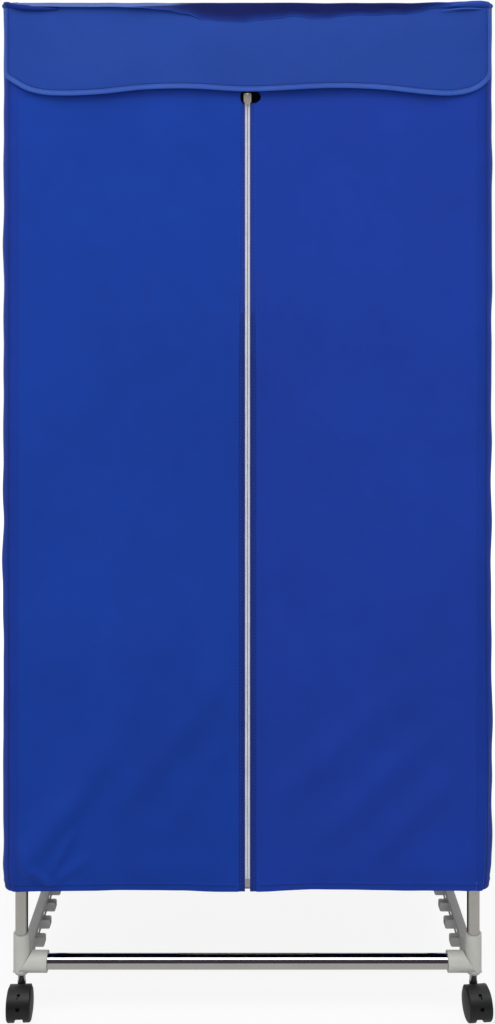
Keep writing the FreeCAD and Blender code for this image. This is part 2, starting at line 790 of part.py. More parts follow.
def cable_gland():
    z = heater_floor_z + gland_up
    inner = heater_back - heater_wall
    start = inner - gland_nut
    neck = round_bar(gland_r - fit_clear, Vec(gland_x, start, z), BACK,
                     gland_nut + heater_wall + gland_flange)
    flange = round_bar(gland_flange_r, Vec(gland_x, heater_back, z), BACK, gland_flange)
    nut = round_bar(gland_flange_r, Vec(gland_x, start, z), BACK, gland_nut)
    bore = round_bar(gland_bore_r, Vec(gland_x, start - 1, z), BACK,
                     gland_nut + heater_wall + gland_flange + 2)
    return fuse_all([neck, flange, nut]).cut(bore)


def heater_feet():
    inset_x = heater_width / 2 - heater_round
    ys = [frame_y + step * cradle_pitch for step in base_rod_cradles]
    return [round_bar(foot_r, Vec(x, y, heater_floor_z - foot_height), UP, foot_height)
            for x in (-inset_x, inset_x) for y in ys]


save("heater_shell", heater_shell())
save("heater_lid", heater_lid())
save("heater_fan", heater_fan())
save("heater_motor", heater_motor())
save("heater_element", heater_element())
save("heater_timer", heater_timer())
save("heater_knob", heater_knob())
save("heater_gland", cable_gland())
save("heater_feet", *heater_feet())
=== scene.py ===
"""Portable drying cabinet: its cloth cover, zip, stitching and finishes, round the fixed frame."""

import math

import bmesh
import bpy
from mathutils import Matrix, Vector, noise


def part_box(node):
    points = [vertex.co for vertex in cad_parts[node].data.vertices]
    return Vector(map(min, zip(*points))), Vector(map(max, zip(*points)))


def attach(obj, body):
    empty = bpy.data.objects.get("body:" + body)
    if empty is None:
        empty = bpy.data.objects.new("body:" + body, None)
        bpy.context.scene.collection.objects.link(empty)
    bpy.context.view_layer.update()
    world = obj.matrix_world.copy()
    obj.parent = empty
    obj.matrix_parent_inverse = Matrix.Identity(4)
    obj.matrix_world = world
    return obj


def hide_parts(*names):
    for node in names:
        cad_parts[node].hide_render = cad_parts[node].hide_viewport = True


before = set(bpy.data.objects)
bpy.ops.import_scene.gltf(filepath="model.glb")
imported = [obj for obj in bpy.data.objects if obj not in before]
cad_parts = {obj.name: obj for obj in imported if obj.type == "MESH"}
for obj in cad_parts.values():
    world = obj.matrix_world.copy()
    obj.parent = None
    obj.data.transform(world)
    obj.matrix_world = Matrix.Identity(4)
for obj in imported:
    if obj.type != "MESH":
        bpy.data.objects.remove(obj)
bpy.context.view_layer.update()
scene = bpy.context.scene

# --- sizes read from the frame, in metres ---
top_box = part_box("cover_top")
door_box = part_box("door_left")
half_width = top_box[1].x
front_y = top_box[0].y
back_y = top_box[1].y
top_z = top_box[1].z
seam_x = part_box("cover_side_right")[0].x
hem_z = door_box[0].z
door_top_z = door_box[1].z
corner_r = half_width - seam_x
chain_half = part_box("zip_chain_right")[1].x
chain_low_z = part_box("zip_chain_left")[0].z
chain_top_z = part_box("zip_chain_left")[1].z
flap_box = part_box("front_flap")

# --- sizes of the cloth ---
cloth_thick = 0.0011
seam_gap = 0.00006
top_edge_z = top_z - 0.0012  # upper edge of the hanging panels, under the top's own cloth
arc_run = corner_r * math.pi / 2
side_start = seam_x + arc_run
side_end = side_start + (back_y - front_y - 2 * corner_r)
back_start = side_end + arc_run
girth_half = back_start + seam_x
hem_height = 0.009
hem_step = 0.0006
hem_tuck = 0.0045  # how far the hem is drawn in
hem_fade = 0.05  # height over which the hem's own waves die out
stitch_proud = 0.0004
top_sag, top_ripple = 0.0045, 0.0012
placket_top, placket_low = 0.0090, 0.0132  # its half-width up by the slider and down the door
placket_step = 0.0011
placket_painted_shade_z = 1.045  # below this the strips take a darker colour, painted shade for where they lie turned away from the light
notch_width = {-1: 0.0110, 1: 0.0200}  # the cloth is folded away beside the parked slider
notch_low_z = door_top_z - 0.0085
notch_high_z = door_top_z + 0.0095
notch_round = 0.009  # how fast it narrows above and below its middle
corner_seam_w = seam_x + 0.0136
corner_seam_half = 0.0018
corner_seam_depth = 0.0009
corner_rough, corner_rough_half = 0.0022, 0.022  # the uneven line of the cover's upright edges

# --- the flap ---
flap_lift = 0.0014  # how far its back face stands off the cover
flap_flare = 0.0050  # how far its lower edge stands out beyond that
flap_hinge_z = flap_box[1].z
flap_r = corner_r + flap_lift
flap_end = seam_x + flap_r * math.radians(47)  # it wraps this far round the front corners
tape_height = 0.0066
tape_thick = 0.0006
flap_wave = [  # wavy lower edge, left to right: share of the half width, drop from the cover's top
    (-0.992, 0.107), (-0.956, 0.117), (-0.893, 0.131), (-0.795, 0.1387), (-0.608, 0.1377),
    (-0.416, 0.1305), (-0.236, 0.129), (0.008, 0.1333), (0.340, 0.1282), (0.537, 0.1304),
    (0.767, 0.139), (0.871, 0.1367), (0.945, 0.126), (0.992, 0.106),
]

LEFT, RIGHT = -1, 1
FOLDS = [  # side, from (round the girth, height) to (same), half-width, rise
    (LEFT, 0.262, 0.272, 0.292, 0.216, 0.0065, 0.0062),
    (LEFT, 0.318, 0.226, 0.290, 0.203, 0.0060, 0.0060),
    (LEFT, 0.335, 0.262, 0.322, 0.214, 0.0070, 0.0052),
    (LEFT, 0.236, 0.243, 0.285, 0.208, 0.0070, 0.0040),
    (LEFT, 0.250, 0.330, 0.330, 0.235, 0.0180, 0.0062),
    (LEFT, 0.205, 0.400, 0.300, 0.285, 0.0260, 0.0060),
    (LEFT, 0.060, 0.480, 0.180, 0.330, 0.0260, 0.0062),
    (LEFT, 0.030, 0.420, 0.110, 0.300, 0.0220, 0.0042),
    (LEFT, 0.080, 0.610, 0.055, 0.440, 0.0220, 0.0036),
    (LEFT, 0.160, 0.560, 0.200, 0.400, 0.0290, 0.0042),
    (LEFT, 0.235, 0.700, 0.245, 0.520, 0.0300, 0.0042),
    (RIGHT, 0.060, 0.340, 0.200, 0.470, 0.0270, 0.0064),
    (RIGHT, 0.110, 0.270, 0.250, 0.410, 0.0240, 0.0056),
    (RIGHT, 0.180, 0.240, 0.300, 0.360, 0.0220, 0.0048),
    (RIGHT, 0.050, 0.560, 0.075, 0.420, 0.0230, 0.0034),
    (RIGHT, 0.220, 0.600, 0.240, 0.470, 0.0300, 0.0034),
    (RIGHT, 0.300, 0.520, 0.310, 0.400, 0.0220, 0.0036),
    (RIGHT, 0.345, 0.205, 0.352, 0.390, 0.0070, 0.0040),
    (RIGHT, 0.325, 0.215, 0.331, 0.360, 0.0090, 0.0034),
]


# --- small helpers ---
def smooth(value, low, high):
    """0 below low, 1 above high, and an even turn between them."""
    t = min(1.0, max(0.0, (value - low) / (high - low)))
    return t * t * (3 - 2 * t)


def mix(a, b, t):
    return a + (b - a) * t


def along_table(table, x):
    """The table's values at x, blended smoothly between its rows."""
    for low, high in zip(table, table[1:]):
        if x <= high[0]:
            t = smooth(x, low[0], high[0])
            return [mix(a, b, t) for a, b in zip(low[1:], high[1:])]
    return list(table[-1][1:])


def srgb(*levels):
    """A colour given as 0 to 255 in sRGB, as the shader's own numbers."""
    def channel(c):
        c /= 255
        return c / 12.92 if c <= 0.04045 else ((c + 0.055) / 1.055) ** 2.4
    return tuple(channel(c) for c in levels) + (1.0,)


def darker(colour, share):
    return tuple(c * share for c in colour[:3]) + (1,)


def side_of(x):
    return RIGHT if x >= 0 else LEFT


def softened(line, times):
    """The line with its corners rounded and its ends kept."""
    for _ in range(times):
        inner = [(a + b * 2 + c) / 4 for a, b, c in zip(line, line[1:], line[2:])]
        line = [line[0]] + inner + [line[-1]]
    return line


def run_at(line, k):
    """The direction in which the line runs at its point k."""
    return (line[min(k + 1, len(line) - 1)] - line[max(k - 1, 0)]).normalized()


def add_object(name, mesh, material, body, slot="blue_cover"):
    """The mesh as a piece of the part, in one of MATERIALS, on a body of the frame."""
    piece = bpy.data.objects.new(name, mesh)
    scene.collection.objects.link(piece)
    mesh.materials.clear()
    mesh.materials.append(MATERIALS[material])
    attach(piece, body)
    return piece


def shade_smooth(mesh):
    mesh.polygons.foreach_set("use_smooth", [True] * len(mesh.polygons))


def mesh_from(name, points, faces):
    mesh = bpy.data.meshes.new(name)
    mesh.from_pydata([tuple(p) for p in points], [], faces)
    mesh.validate()
    shade_smooth(mesh)
    mesh.update()
    return mesh


def reshape(mesh, change):
    """Runs change on the mesh in its editable form."""
    bm = bmesh.new()
    bm.from_mesh(mesh)
    change(bm)
    bm.to_mesh(mesh)
    bm.free()


def mesh_of(bm, name, smooth_shaded=False):
    """The editable form as a new mesh."""
    mesh = bpy.data.meshes.new(name)
    bm.to_mesh(mesh)
    bm.free()
    if smooth_shaded:
        shade_smooth(mesh)
    return mesh


def swept(name, points, count):
    """A closed skin over points that lie count to a section, with both ends filled."""
    faces = []
    for first in range(0, len(points) - count, count):
        for i in range(count):
            j = (i + 1) % count
            faces.append((first + i, first + j, first + count + j, first + count + i))
    faces.append(tuple(range(count)))
    faces.append(tuple(reversed(range(len(points) - count, len(points)))))
    mesh = mesh_from(name, points, faces)
    reshape(mesh, lambda bm: bmesh.ops.recalc_face_normals(bm, faces=bm.faces))
    return mesh


def baked(mesh_or_curve, kind, **settings):
    """The data with one modifier applied, as plain mesh data."""
    holder = bpy.data.objects.new("holder", mesh_or_curve)
    scene.collection.objects.link(holder)
    modifier = holder.modifiers.new("shape", kind)
    for key, value in settings.items():
        if hasattr(modifier, key):
            setattr(modifier, key, value)
        else:
            modifier[key] = value
    graph = bpy.context.evaluated_depsgraph_get()
    graph.update()
    mesh = bpy.data.meshes.new_from_object(holder.evaluated_get(graph))
    bpy.data.objects.remove(holder)
    return mesh


# --- shader groups ---
def new_group(name, dial, value, output):
    """A shader group that takes a vector and one number, dial, and gives one number, output."""
    group = bpy.data.node_groups.new(name, "ShaderNodeTree")
    new_socket = group.interface.new_socket
    new_socket("Vector", in_out="INPUT", socket_type="NodeSocketVector")
    new_socket(dial, in_out="INPUT", socket_type="NodeSocketFloat").default_value = value
    new_socket(output, in_out="OUTPUT", socket_type="NodeSocketFloat")
    entry = group.nodes.new("NodeGroupInput").outputs
    leave = group.nodes.new("NodeGroupOutput").inputs
    return group, entry["Vector"], entry[dial], leave[output]


def feed(tree, value, socket):
    """Links another node's output, or sets a plain number or colour."""
    if isinstance(value, bpy.types.NodeSocket):
        tree.links.new(value, socket)
    else:
        socket.default_value = value


def node(tree, kind, **settings):
    made = tree.nodes.new(kind)
    for key, value in settings.items():
        if key in made.inputs:
            made.inputs[key].default_value = value
        else:
            setattr(made, key, value)
    return made


def math_node(tree, operation, *values):
    made = node(tree, "ShaderNodeMath", operation=operation)
    for socket, value in zip(made.inputs, values):
        feed(tree, value, socket)
    return made.outputs[0]


def scaled_sum(tree, value, share, base):
    return math_node(tree, "ADD", math_node(tree, "MULTIPLY", value, share), base)


def scaled(tree, vector, scale, place=(0, 0, 0)):
    mapping = node(tree, "ShaderNodeMapping", Scale=scale, Location=place)
    tree.links.new(vector, mapping.inputs["Vector"])
    return mapping.outputs["Vector"]


def noise_value(tree, vector, scale, detail=2.0, roughness=0.5, distortion=0.0):
    made = node(tree, "ShaderNodeTexNoise", Detail=detail, Roughness=roughness,
                Distortion=distortion)
    tree.links.new(vector, made.inputs["Vector"])
    feed(tree, scale, made.inputs["Scale"])
    return made.outputs["Fac"]


def ramp(tree, value, low, high):
    """value, stretched so that low becomes 0 and high becomes 1."""
    made = node(tree, "ShaderNodeMapRange", clamp=True, **{"From Min": low, "From Max": high})
    tree.links.new(value, made.inputs["Value"])
    return made.outputs["Result"]


def colour_mix(tree, factor, a, b):
    made = node(tree, "ShaderNodeMix", data_type="RGBA")
    for place, value in ((0, factor), (6, a), (7, b)):  # the mix's sockets for colours
        feed(tree, value, made.inputs[place])
    return made.outputs[2]


def bump(tree, height, distance, strength=1.0, normal=None):
    made = node(tree, "ShaderNodeBump", Distance=distance, Strength=strength)
    tree.links.new(height, made.inputs["Height"])
    if normal is not None:
        tree.links.new(normal, made.inputs["Normal"])
    return made.outputs["Normal"]


def weave_group():
    """Plain weave of fine threads: a height, from object coordinates and a thread pitch."""
    group, vector, threads, height = new_group("plain_weave", "Threads", 1100.0, "Height")
    split = node(group, "ShaderNodeSeparateXYZ")
    group.links.new(vector, split.inputs["Vector"])
    x, y, z = split.outputs
    waves = []
    for run in (math_node(group, "ADD", x, y), z):
        wave = math_node(group, "SINE", math_node(group, "MULTIPLY", run, threads))
        waves.append(math_node(group, "ABSOLUTE", wave))
    group.links.new(math_node(group, "MULTIPLY", *waves), height)
    return group


def crumple_group():
    """Soft creases of coated cloth: a height that changes slowly down it and faster across it."""
    group, vector, fine, height = new_group("cloth_crumple", "Fine", 0.35, "Height")
    long_creases = noise_value(group, scaled(group, vector, (9, 9, 3.2)), 1.0, 3.0, 0.55, 0.6)
    small = noise_value(group, scaled(group, vector, (38, 38, 22)), 1.0, 4.0, 0.6, 0.4)
    small = math_node(group, "MULTIPLY", small, fine)
    group.links.new(math_node(group, "ADD", long_creases, small), height)
    return group


def mottle_group():
    """A mask of slow and fine variation, for dust, handling marks and uneven colour."""
    group, vector, scale, mask = new_group("mottle", "Scale", 8.0, "Mask")
    coarse = noise_value(group, vector, scale, 3.0, 0.55)
    fine = noise_value(group, vector, math_node(group, "MULTIPLY", scale, 9.0), 4.0, 0.6)
    both = math_node(group, "ADD", math_node(group, "MULTIPLY", coarse, 0.7),
                     math_node(group, "MULTIPLY", fine, 0.3))
    group.links.new(ramp(group, both, 0.35, 0.65), mask)
    return group


def grain_group():
    """The fine spark texture of moulded plastic: a height."""
    group, vector, scale, height = new_group("moulded_grain", "Scale", 1400.0, "Height")
    group.links.new(noise_value(group, vector, scale, 2.0, 0.7), height)
    return group


GROUPS = {"weave": weave_group(), "crumple": crumple_group(), "mottle": mottle_group(),
          "grain": grain_group()}


def place_group(tree, name, vector, **values):
    made = node(tree, "ShaderNodeGroup", node_tree=GROUPS[name])
    tree.links.new(vector, made.inputs["Vector"])
    for key, value in values.items():
        made.inputs[key].default_value = value
    return made.outputs[0]


def new_material(name):
    """(material, its tree, its shader's inputs, the object coordinates)"""
    material = bpy.data.materials.new(name)
    material.use_nodes = True
    tree = material.node_tree
    where = node(tree, "ShaderNodeTexCoord").outputs["Object"]
    return material, tree, tree.nodes["Principled BSDF"].inputs, where


# --- materials ---
def coated_cloth(name, colour, deep, gloss=0.50, crease=0.0010, shine=0.14, painted=None):
    """Coated polyester: a smooth, slightly glossy weave with soft creases and uneven colour.

    painted names an attribute of the mesh that takes the place of the two colours.
    """
    material, tree, shader, where = new_material(name)
    shade = colour_mix(tree, place_group(tree, "mottle", where, Scale=3.0), deep, colour)
    if painted:
        shade = node(tree, "ShaderNodeAttribute", attribute_name=painted).outputs["Color"]
    feed(tree, shade, shader["Base Color"])
    rough = ramp(tree, place_group(tree, "mottle", where, Scale=11.0), 0.0, 1.0)
    feed(tree, scaled_sum(tree, rough, 0.10, gloss), shader["Roughness"])
    creased = bump(tree, place_group(tree, "crumple", where, Fine=0.22), crease)
    woven = bump(tree, place_group(tree, "weave", where), 0.00006, 0.5, creased)
    feed(tree, woven, shader["Normal"])
    shader["Specular IOR Level"].default_value = shine
    return material


def thread(name, colour):
    material, tree, shader, where = new_material(name)
    mask = place_group(tree, "mottle", where, Scale=240.0)
    feed(tree, colour_mix(tree, mask, darker(colour, 0.6), colour), shader["Base Color"])
    shader["Roughness"].default_value = 0.7
    return material


def plated(name, colour, roughness, streak=0.0):
    """Plated or brushed metal with faint handling marks; streak stretches them along X."""
    material, tree, shader, where = new_material(name)
    mask = place_group(tree, "mottle", where, Scale=14.0)
    feed(tree, colour_mix(tree, mask, darker(colour, 0.9), colour), shader["Base Color"])
    shader["Metallic"].default_value = 1.0
    marks, share = mask, 0.05
    if streak:
        marks, share = noise_value(tree, scaled(tree, where, (6, 900, 900)), 1.0), streak
        feed(tree, bump(tree, marks, 0.00004, 0.5), shader["Normal"])
    feed(tree, scaled_sum(tree, marks, share, roughness), shader["Roughness"])
    return material


def moulded(name, colour, roughness, grain=0.00003, worn=None):
    """Moulded plastic: fine grain, slight colour drift and paler or darker handling marks."""
    material, tree, shader, where = new_material(name)
    drift = place_group(tree, "mottle", where, Scale=18.0)
    share = math_node(tree, "MULTIPLY", drift, 0.8)
    feed(tree, colour_mix(tree, share, colour, worn or darker(colour, 0.86)), shader["Base Color"])
    feed(tree, scaled_sum(tree, drift, 0.10, roughness), shader["Roughness"])
    feed(tree, bump(tree, place_group(tree, "grain", where), grain, 0.6), shader["Normal"])
    return material


MATERIALS = {
    "cloth_left": coated_cloth("blue_cloth_left", srgb(17, 62, 164), srgb(15, 56, 152)),
    "cloth_right": coated_cloth("blue_cloth_right", srgb(23, 60, 163), srgb(21, 55, 152)),
    "cloth_flap": coated_cloth("blue_cloth_flap", srgb(20, 66, 160), srgb(18, 60, 150), shine=0.24),
    "cloth_side": coated_cloth("blue_cloth_side", srgb(20, 58, 158), srgb(17, 52, 146)),
    "tape": coated_cloth("blue_binding", srgb(52, 94, 188), srgb(42, 82, 176), 0.50, 0.0004, 0.3),
    # its colour comes from the fold_shade attribute: a painted highlight and painted shade on the
    # rolled seam
    "welt": coated_cloth("blue_fold_over_painted_light_and_shade", srgb(20, 66, 160), srgb(18, 60, 150), 0.55, 0.0004, 0.16,
                         "fold_shade"),
    # a paler copy of the flap's cloth: a painted highlight along a crease's edge
    "crease": coated_cloth("blue_crease_painted_highlight", srgb(56, 92, 178), srgb(48, 84, 168), 0.50, 0.0004, 0.2),
    "placket": coated_cloth("blue_placket", srgb(30, 62, 156), srgb(25, 52, 142), 0.52, 0.0006),
    # a darker copy of the strip's cloth: painted shade on the strips low down
    "placket_low": coated_cloth("blue_placket_painted_shade", srgb(24, 50, 136), srgb(20, 44, 124), 0.52,
                                0.0006),
    # near-black cloth: painted shadow of the cover's dark inside, behind the slider's gap
    "painted_interior_shadow": coated_cloth("painted_shadow_cloth", srgb(8, 9, 26), srgb(4, 5, 16), 0.6, 0.0004, 0.05),
    # a darker copy of the flap's cloth: painted shade for the underside of a fold
    "fold_painted_shade": coated_cloth("blue_fold_painted_shade", srgb(26, 52, 138), srgb(20, 44, 124), 0.6, 0.0004,
                              0.1),
    "thread": thread("navy_thread", srgb(18, 34, 104)),
    "thread_pale": thread("pale_blue_thread", srgb(48, 80, 172)),
    "chrome": plated("chrome_plate", srgb(202, 200, 196), 0.06),
    "rod": plated("satin_steel", srgb(196, 196, 196), 0.24, 0.18),
    "connector": moulded("grey_connector", srgb(206, 206, 198), 0.40),
    "rail": moulded("grey_rail", srgb(212, 212, 208), 0.45),
    "castor": moulded("black_castor", srgb(10, 11, 12), 0.42, 0.00004, srgb(16, 17, 18)),
    "wheel": moulded("black_wheel", srgb(8, 9, 10), 0.46, 0.00004, srgb(15, 16, 16)),
    "stem": plated("bright_stem", srgb(190, 190, 192), 0.12),
    "coil": moulded("white_coil", srgb(240, 242, 246), 0.38, 0.00002, srgb(222, 225, 232)),
    "zip_tape": thread("white_zip_tape", srgb(216, 220, 230)),
    "nickel": plated("bright_nickel", srgb(222, 217, 206), 0.46),
    "heater": moulded("white_case", srgb(224, 224, 220), 0.36),
    "dark": moulded("black_case", srgb(34, 34, 36), 0.40),
    "motor": plated("zinc_can", srgb(168, 168, 170), 0.32),
    "fins": plated("plain_aluminium", srgb(190, 190, 192), 0.34),
    "rubber": moulded("black_rubber", srgb(24, 24, 24), 0.72),
    "mark": moulded("grey_marking", srgb(120, 122, 124), 0.5),
}

# painted light and shade for the top's rolled seam: a painted highlight where it faces up, painted
# shade where it hangs over, softer painted shade below that, then the flap's plain cloth
FOLD_LIGHT_AND_SHADE_COLOURS = (srgb(80, 106, 170), srgb(17, 30, 96), srgb(24, 46, 128), srgb(20, 64, 156))

NODE_FINISH = {
    "chrome": ["lower_posts", "upper_posts", "base_tube_front", "base_tube_rear", "mid_tubes",
               "top_tubes"],
    "rod": ["base_rod_front", "base_rod_rear"] + [
        tier + "_rod_%d" % k for tier in ("mid", "top") for k in (1, 2, 3)],
    "connector": ["mid_corners", "top_corners"],
    "rail": [tier + "_rail_" + side
             for tier in ("base", "mid", "top") for side in ("left", "right")],
    "stem": ["castor_stems"],
    "nickel": ["zip_slider", "zip_pull"],
    "heater": ["heater_shell", "heater_lid"],
    "dark": ["heater_fan", "heater_knob", "heater_timer"],
    "motor": ["heater_motor"],
    "fins": ["heater_element"],
    "rubber": ["heater_gland", "heater_feet"],
}
for corner in ("front_left", "front_right", "rear_left", "rear_right"):
    NODE_FINISH["connector"].append("base_corner_" + corner)
    NODE_FINISH.setdefault("castor", []).append("castor_housing_" + corner)
    for side in ("left", "right"):
        NODE_FINISH.setdefault("wheel", []).append("castor_wheel_%s_%s" % (side, corner))

for finish, nodes in NODE_FINISH.items():
    for name in nodes:
        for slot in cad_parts[name].material_slots:
            slot.material = MATERIALS[finish]


# --- the cover as one hanging surface ---
def cover_base(side, w):
    """(x, y, outward x, outward y) of the cover, w metres round from the middle of the front."""
    if w <= seam_x:
        x, y, nx, ny = w, front_y, 0.0, -1.0
    elif w < side_start:
        a = (w - seam_x) / corner_r
        nx, ny = math.sin(a), -math.cos(a)
        x, y = seam_x + corner_r * nx, front_y + corner_r * (1 + ny)
    elif w <= side_end:
        x, y, nx, ny = half_width, front_y + corner_r + w - side_start, 1.0, 0.0
    elif w < back_start:
        a = (w - side_end) / corner_r
        nx, ny = math.cos(a), math.sin(a)
        x, y = seam_x + corner_r * nx, back_y - corner_r * (1 - ny)
    else:
        x, y, nx, ny = seam_x - (w - back_start), back_y, 0.0, 1.0
    return side * x, y, side * nx, ny


def fold_rise(side, w, z):
    """How far this side's folds lift the cloth: each is a soft ridge that fades at its ends."""
    total = 0.0
    for fold_side, w0, z0, w1, z1, half, rise in FOLDS:
        run = Vector((w1 - w0, z1 - z0))
        off = Vector((w - w0, z - z0))
        along = off.dot(run) / run.length_squared
        across = abs(off.x * run.y - off.y * run.x) / run.length
        if fold_side == side and -0.4 < along < 1.4 and across <= 3 * half:
            ends = smooth(along, -0.4, 0.25) * (1 - smooth(along, 0.75, 1.4))
            total += rise * ends * math.exp(-(across / half) ** 2)
    return total


def relief(side, w, z):
    """How far the hanging cloth stands out from the cover's plain shape."""
    at = Vector((side * w, z, 7.3))
    loose = smooth(1.10 - z, 0.0, 0.85)  # the cloth hangs slacker towards its hem
    slow = noise.noise(Vector((at.x * 5.5, at.y * 2.2, at.z))) * mix(0.0012, 0.0030, loose)
    ripple = noise.noise(Vector((at.x * 21, at.y * 6.5, 2.1))) * mix(0.0003, 0.0009, loose)
    out = slow + ripple + fold_rise(side, w, z)
    out *= smooth(w, placket_low, placket_low + 0.035)
    out *= mix(0.25, 1.0, smooth(top_z - z, 0.0, 0.030))
    seam = corner_seam_depth * math.exp(-((w - corner_seam_w) / corner_seam_half) ** 2)
    fold_z = hem_z + hem_height
    hem = hem_step * (1 - smooth(z, fold_z - 0.0008, fold_z + 0.0008))
    hem -= hem_tuck * (1 - smooth(z, hem_z - 0.010, hem_z + 0.034)) * smooth(w, placket_low, 0.10)
    rough = corner_rough * noise.noise(Vector((side * 3.0, z * 17, 6.1)))
    edge = rough * math.exp(-((w - side_start) / corner_rough_half) ** 2)
    return out - seam + hem + edge


EDGE_SAG = [  # x, how far the top's front edge hangs below its corners
    (-0.365, 0.0), (-0.354, 0.0034), (-0.335, 0.0026), (-0.200, 0.0026), (-0.060, 0.0036),
    (0.000, 0.0036), (0.120, 0.0042), (0.230, 0.0040), (0.290, 0.0024), (0.320, 0.0008),
    (0.365, 0.0),
]


def edge_sag(x):
    return along_table(EDGE_SAG, x)[0]


def edge_wave(side, w):
    """How far the hem lies above or below its plain height."""
    slow = 0.0016 * noise.noise(Vector((side * w * 7, 3.3, 0.4)))
    fine = 0.0007 * noise.noise(Vector((side * w * 26, 9.1, 0.4)))
    sag = 0.0026 + 0.0014 * smooth(w, 0.15, 0.30)
    return (slow + fine) * smooth(w, 0.02, 0.06) - sag


def hem_lift(side, w, z):
    """The hem's wave at the hem, fading out over the cloth above it."""
    return edge_wave(side, w) * (1 - smooth(z, hem_z, hem_z + hem_fade))


def cover_point(side, w, z, out=0.0):
    x, y, nx, ny = cover_base(side, w)
    rise = relief(side, w, z) + out
    return Vector((x + nx * rise, y + ny * rise, z))


def grid_faces(rows, columns, left_out=None):
    faces = []
    for r in range(rows - 1):
        for c in range(columns - 1):
            k = r * columns + c
            if not (left_out and left_out(r, c)):
                faces.append((k, k + 1, k + columns + 1, k + columns))
    return faces


def thicken(mesh, inward):
    """Gives a one-layer sheet its thickness, on the side that inward points to."""
    def face_out(bm):
        bmesh.ops.recalc_face_normals(bm, faces=bm.faces)
        bm.faces.ensure_lookup_table()
        if bm.faces[len(bm.faces) // 2].normal.dot(Vector(inward)) > 0:
            bmesh.ops.reverse_faces(bm, faces=bm.faces)
        bm.normal_update()

    reshape(mesh, face_out)
    thick = baked(mesh, "SOLIDIFY", thickness=cloth_thick, offset=-1, use_even_offset=True)
    shade_smooth(thick)
    thick.set_sharp_from_angle(angle=math.radians(50))
    return thick


def steps(low, high, pitch):
    count = max(2, int(round((high - low) / pitch)) + 1)
    return [mix(low, high, k / (count - 1)) for k in range(count)]


def cloth_panel(name, point, ws, zs, inward, material, body, gap=None):
    """A panel of the cover: point(w, z) for each place of its grid, then its thickness."""
    def in_gap(r, c):
        return gap((ws[c] + ws[c + 1]) / 2, (zs[r] + zs[r + 1]) / 2)

    def drop_loose(bm):
        loose = [v for v in bm.verts if not v.link_faces]
        bmesh.ops.delete(bm, geom=loose, context="VERTS")

    points = [point(w, z) for z in zs for w in ws]
    mesh = mesh_from(name, points, grid_faces(len(zs), len(ws), in_gap if gap else None))
    reshape(mesh, drop_loose)
    mesh = thicken(mesh, inward)
    mesh.name = name
    return add_object(name, mesh, material, body)


def cloth_roll(name, places, radii, material, body, flat=0.75, sides=10):
    """A rolled edge: a soft tube through the places, flattened a little across."""
    def at(values, t):
        k = min(int(t), len(values) - 2)
        return values[k] + (values[k + 1] - values[k]) * (t - k)

    places = [Vector(p) for p in places]
    parts = 10  # points between two places
    line = softened([at(places, k / parts) for k in range(parts * (len(places) - 1) + 1)], 12)
    points = []
    for k, p in enumerate(line):
        run = run_at(line, k)
        across = run.cross(Vector((0, 0, 1))).normalized()
        up = across.cross(run)
        radius = at(radii, k / parts) * (1 + 0.16 * noise.noise(p * 60))
        for i in range(sides):
            a = 2 * math.pi * i / sides
            points.append(p + across * (radius * math.cos(a) * flat) + up * (radius * math.sin(a)))
    return add_object(name, swept(name, points, sides), material, body)


# --- stitching, zip teeth and other repeats along a line ---
def run_tree(name, rings, leaning):
    """A node tree that sets one bead at even steps along a curve, turned to follow it."""
    tree = bpy.data.node_groups.new(name, "GeometryNodeTree")
    for label, kind in (("Geometry", "Geometry"), ("Pitch", "Float"), ("Length", "Float"),
                        ("Radius", "Float"), ("Slant", "Float"), ("Material", "Material")):
        tree.interface.new_socket(label, in_out="INPUT", socket_type="NodeSocket" + kind)
    tree.interface.new_socket("Geometry", in_out="OUTPUT", socket_type="NodeSocketGeometry")

    def add(kind, **sources):
        """A node, its inputs fed from other nodes' outputs or from plain values."""
        made = tree.nodes.new(kind)
        for key, value in sources.items():
            if key in made.inputs:
                feed(tree, value, made.inputs[key])
            else:
                setattr(made, key, value)
        return made.outputs[0] if made.outputs else None

    entry = tree.nodes.new("NodeGroupInput").outputs
    bead = add("GeometryNodeMeshUVSphere", Segments=6, Rings=rings, Radius=1.0)
    half = math_node(tree, "MULTIPLY", entry["Length"], 0.5)
    size = add("ShaderNodeCombineXYZ", X=entry["Radius"], Y=entry["Radius"], Z=half)
    unit = add("GeometryNodeTransform", Geometry=bead, Scale=size)
    if leaning:
        lean = add("ShaderNodeCombineXYZ", Y=entry["Slant"])
        unit = add("GeometryNodeTransform", Geometry=unit, Rotation=lean)
    line = add("GeometryNodeResampleCurve", mode="LENGTH", Curve=entry["Geometry"],
               Length=entry["Pitch"])
    turn = add("FunctionNodeAlignEulerToVector", axis="Z", Vector=add("GeometryNodeInputTangent"))
    units = add("GeometryNodeInstanceOnPoints", Points=line, Rotation=turn, Instance=unit)
    real = add("GeometryNodeRealizeInstances", Geometry=units)
    add("NodeGroupOutput", Geometry=add("GeometryNodeSetMaterial", Geometry=real,
                                        Material=entry["Material"]))
    return tree


STITCH_TREE = run_tree("seam_stitches", 5, False)
TOOTH_TREE = run_tree("zip_coil", 6, True)


def polyline(points):
    data = bpy.data.curves.new("seam_line", "CURVE")
    data.dimensions = "3D"
    spline = data.splines.new("POLY")
    spline.points.add(len(points) - 1)
    for target, p in zip(spline.points, points):
        target.co = (p[0], p[1], p[2], 1)
    return data


def along(tree, name, lines, body, material, slot="blue_cover", **sizes):
    """Units of tree along each of the lines, as one plain mesh on body."""
    values = dict(sizes, Material=MATERIALS[material])
    settings = {item.identifier: values[item.name] for item in tree.interface.items_tree
                if item.in_out == "INPUT" and item.name in values}
    bm = bmesh.new()
    for points in lines:
        bm.from_mesh(baked(polyline(points), "NODES", node_group=tree, **settings))
    return add_object(name, mesh_of(bm, name, True), material, body, slot)


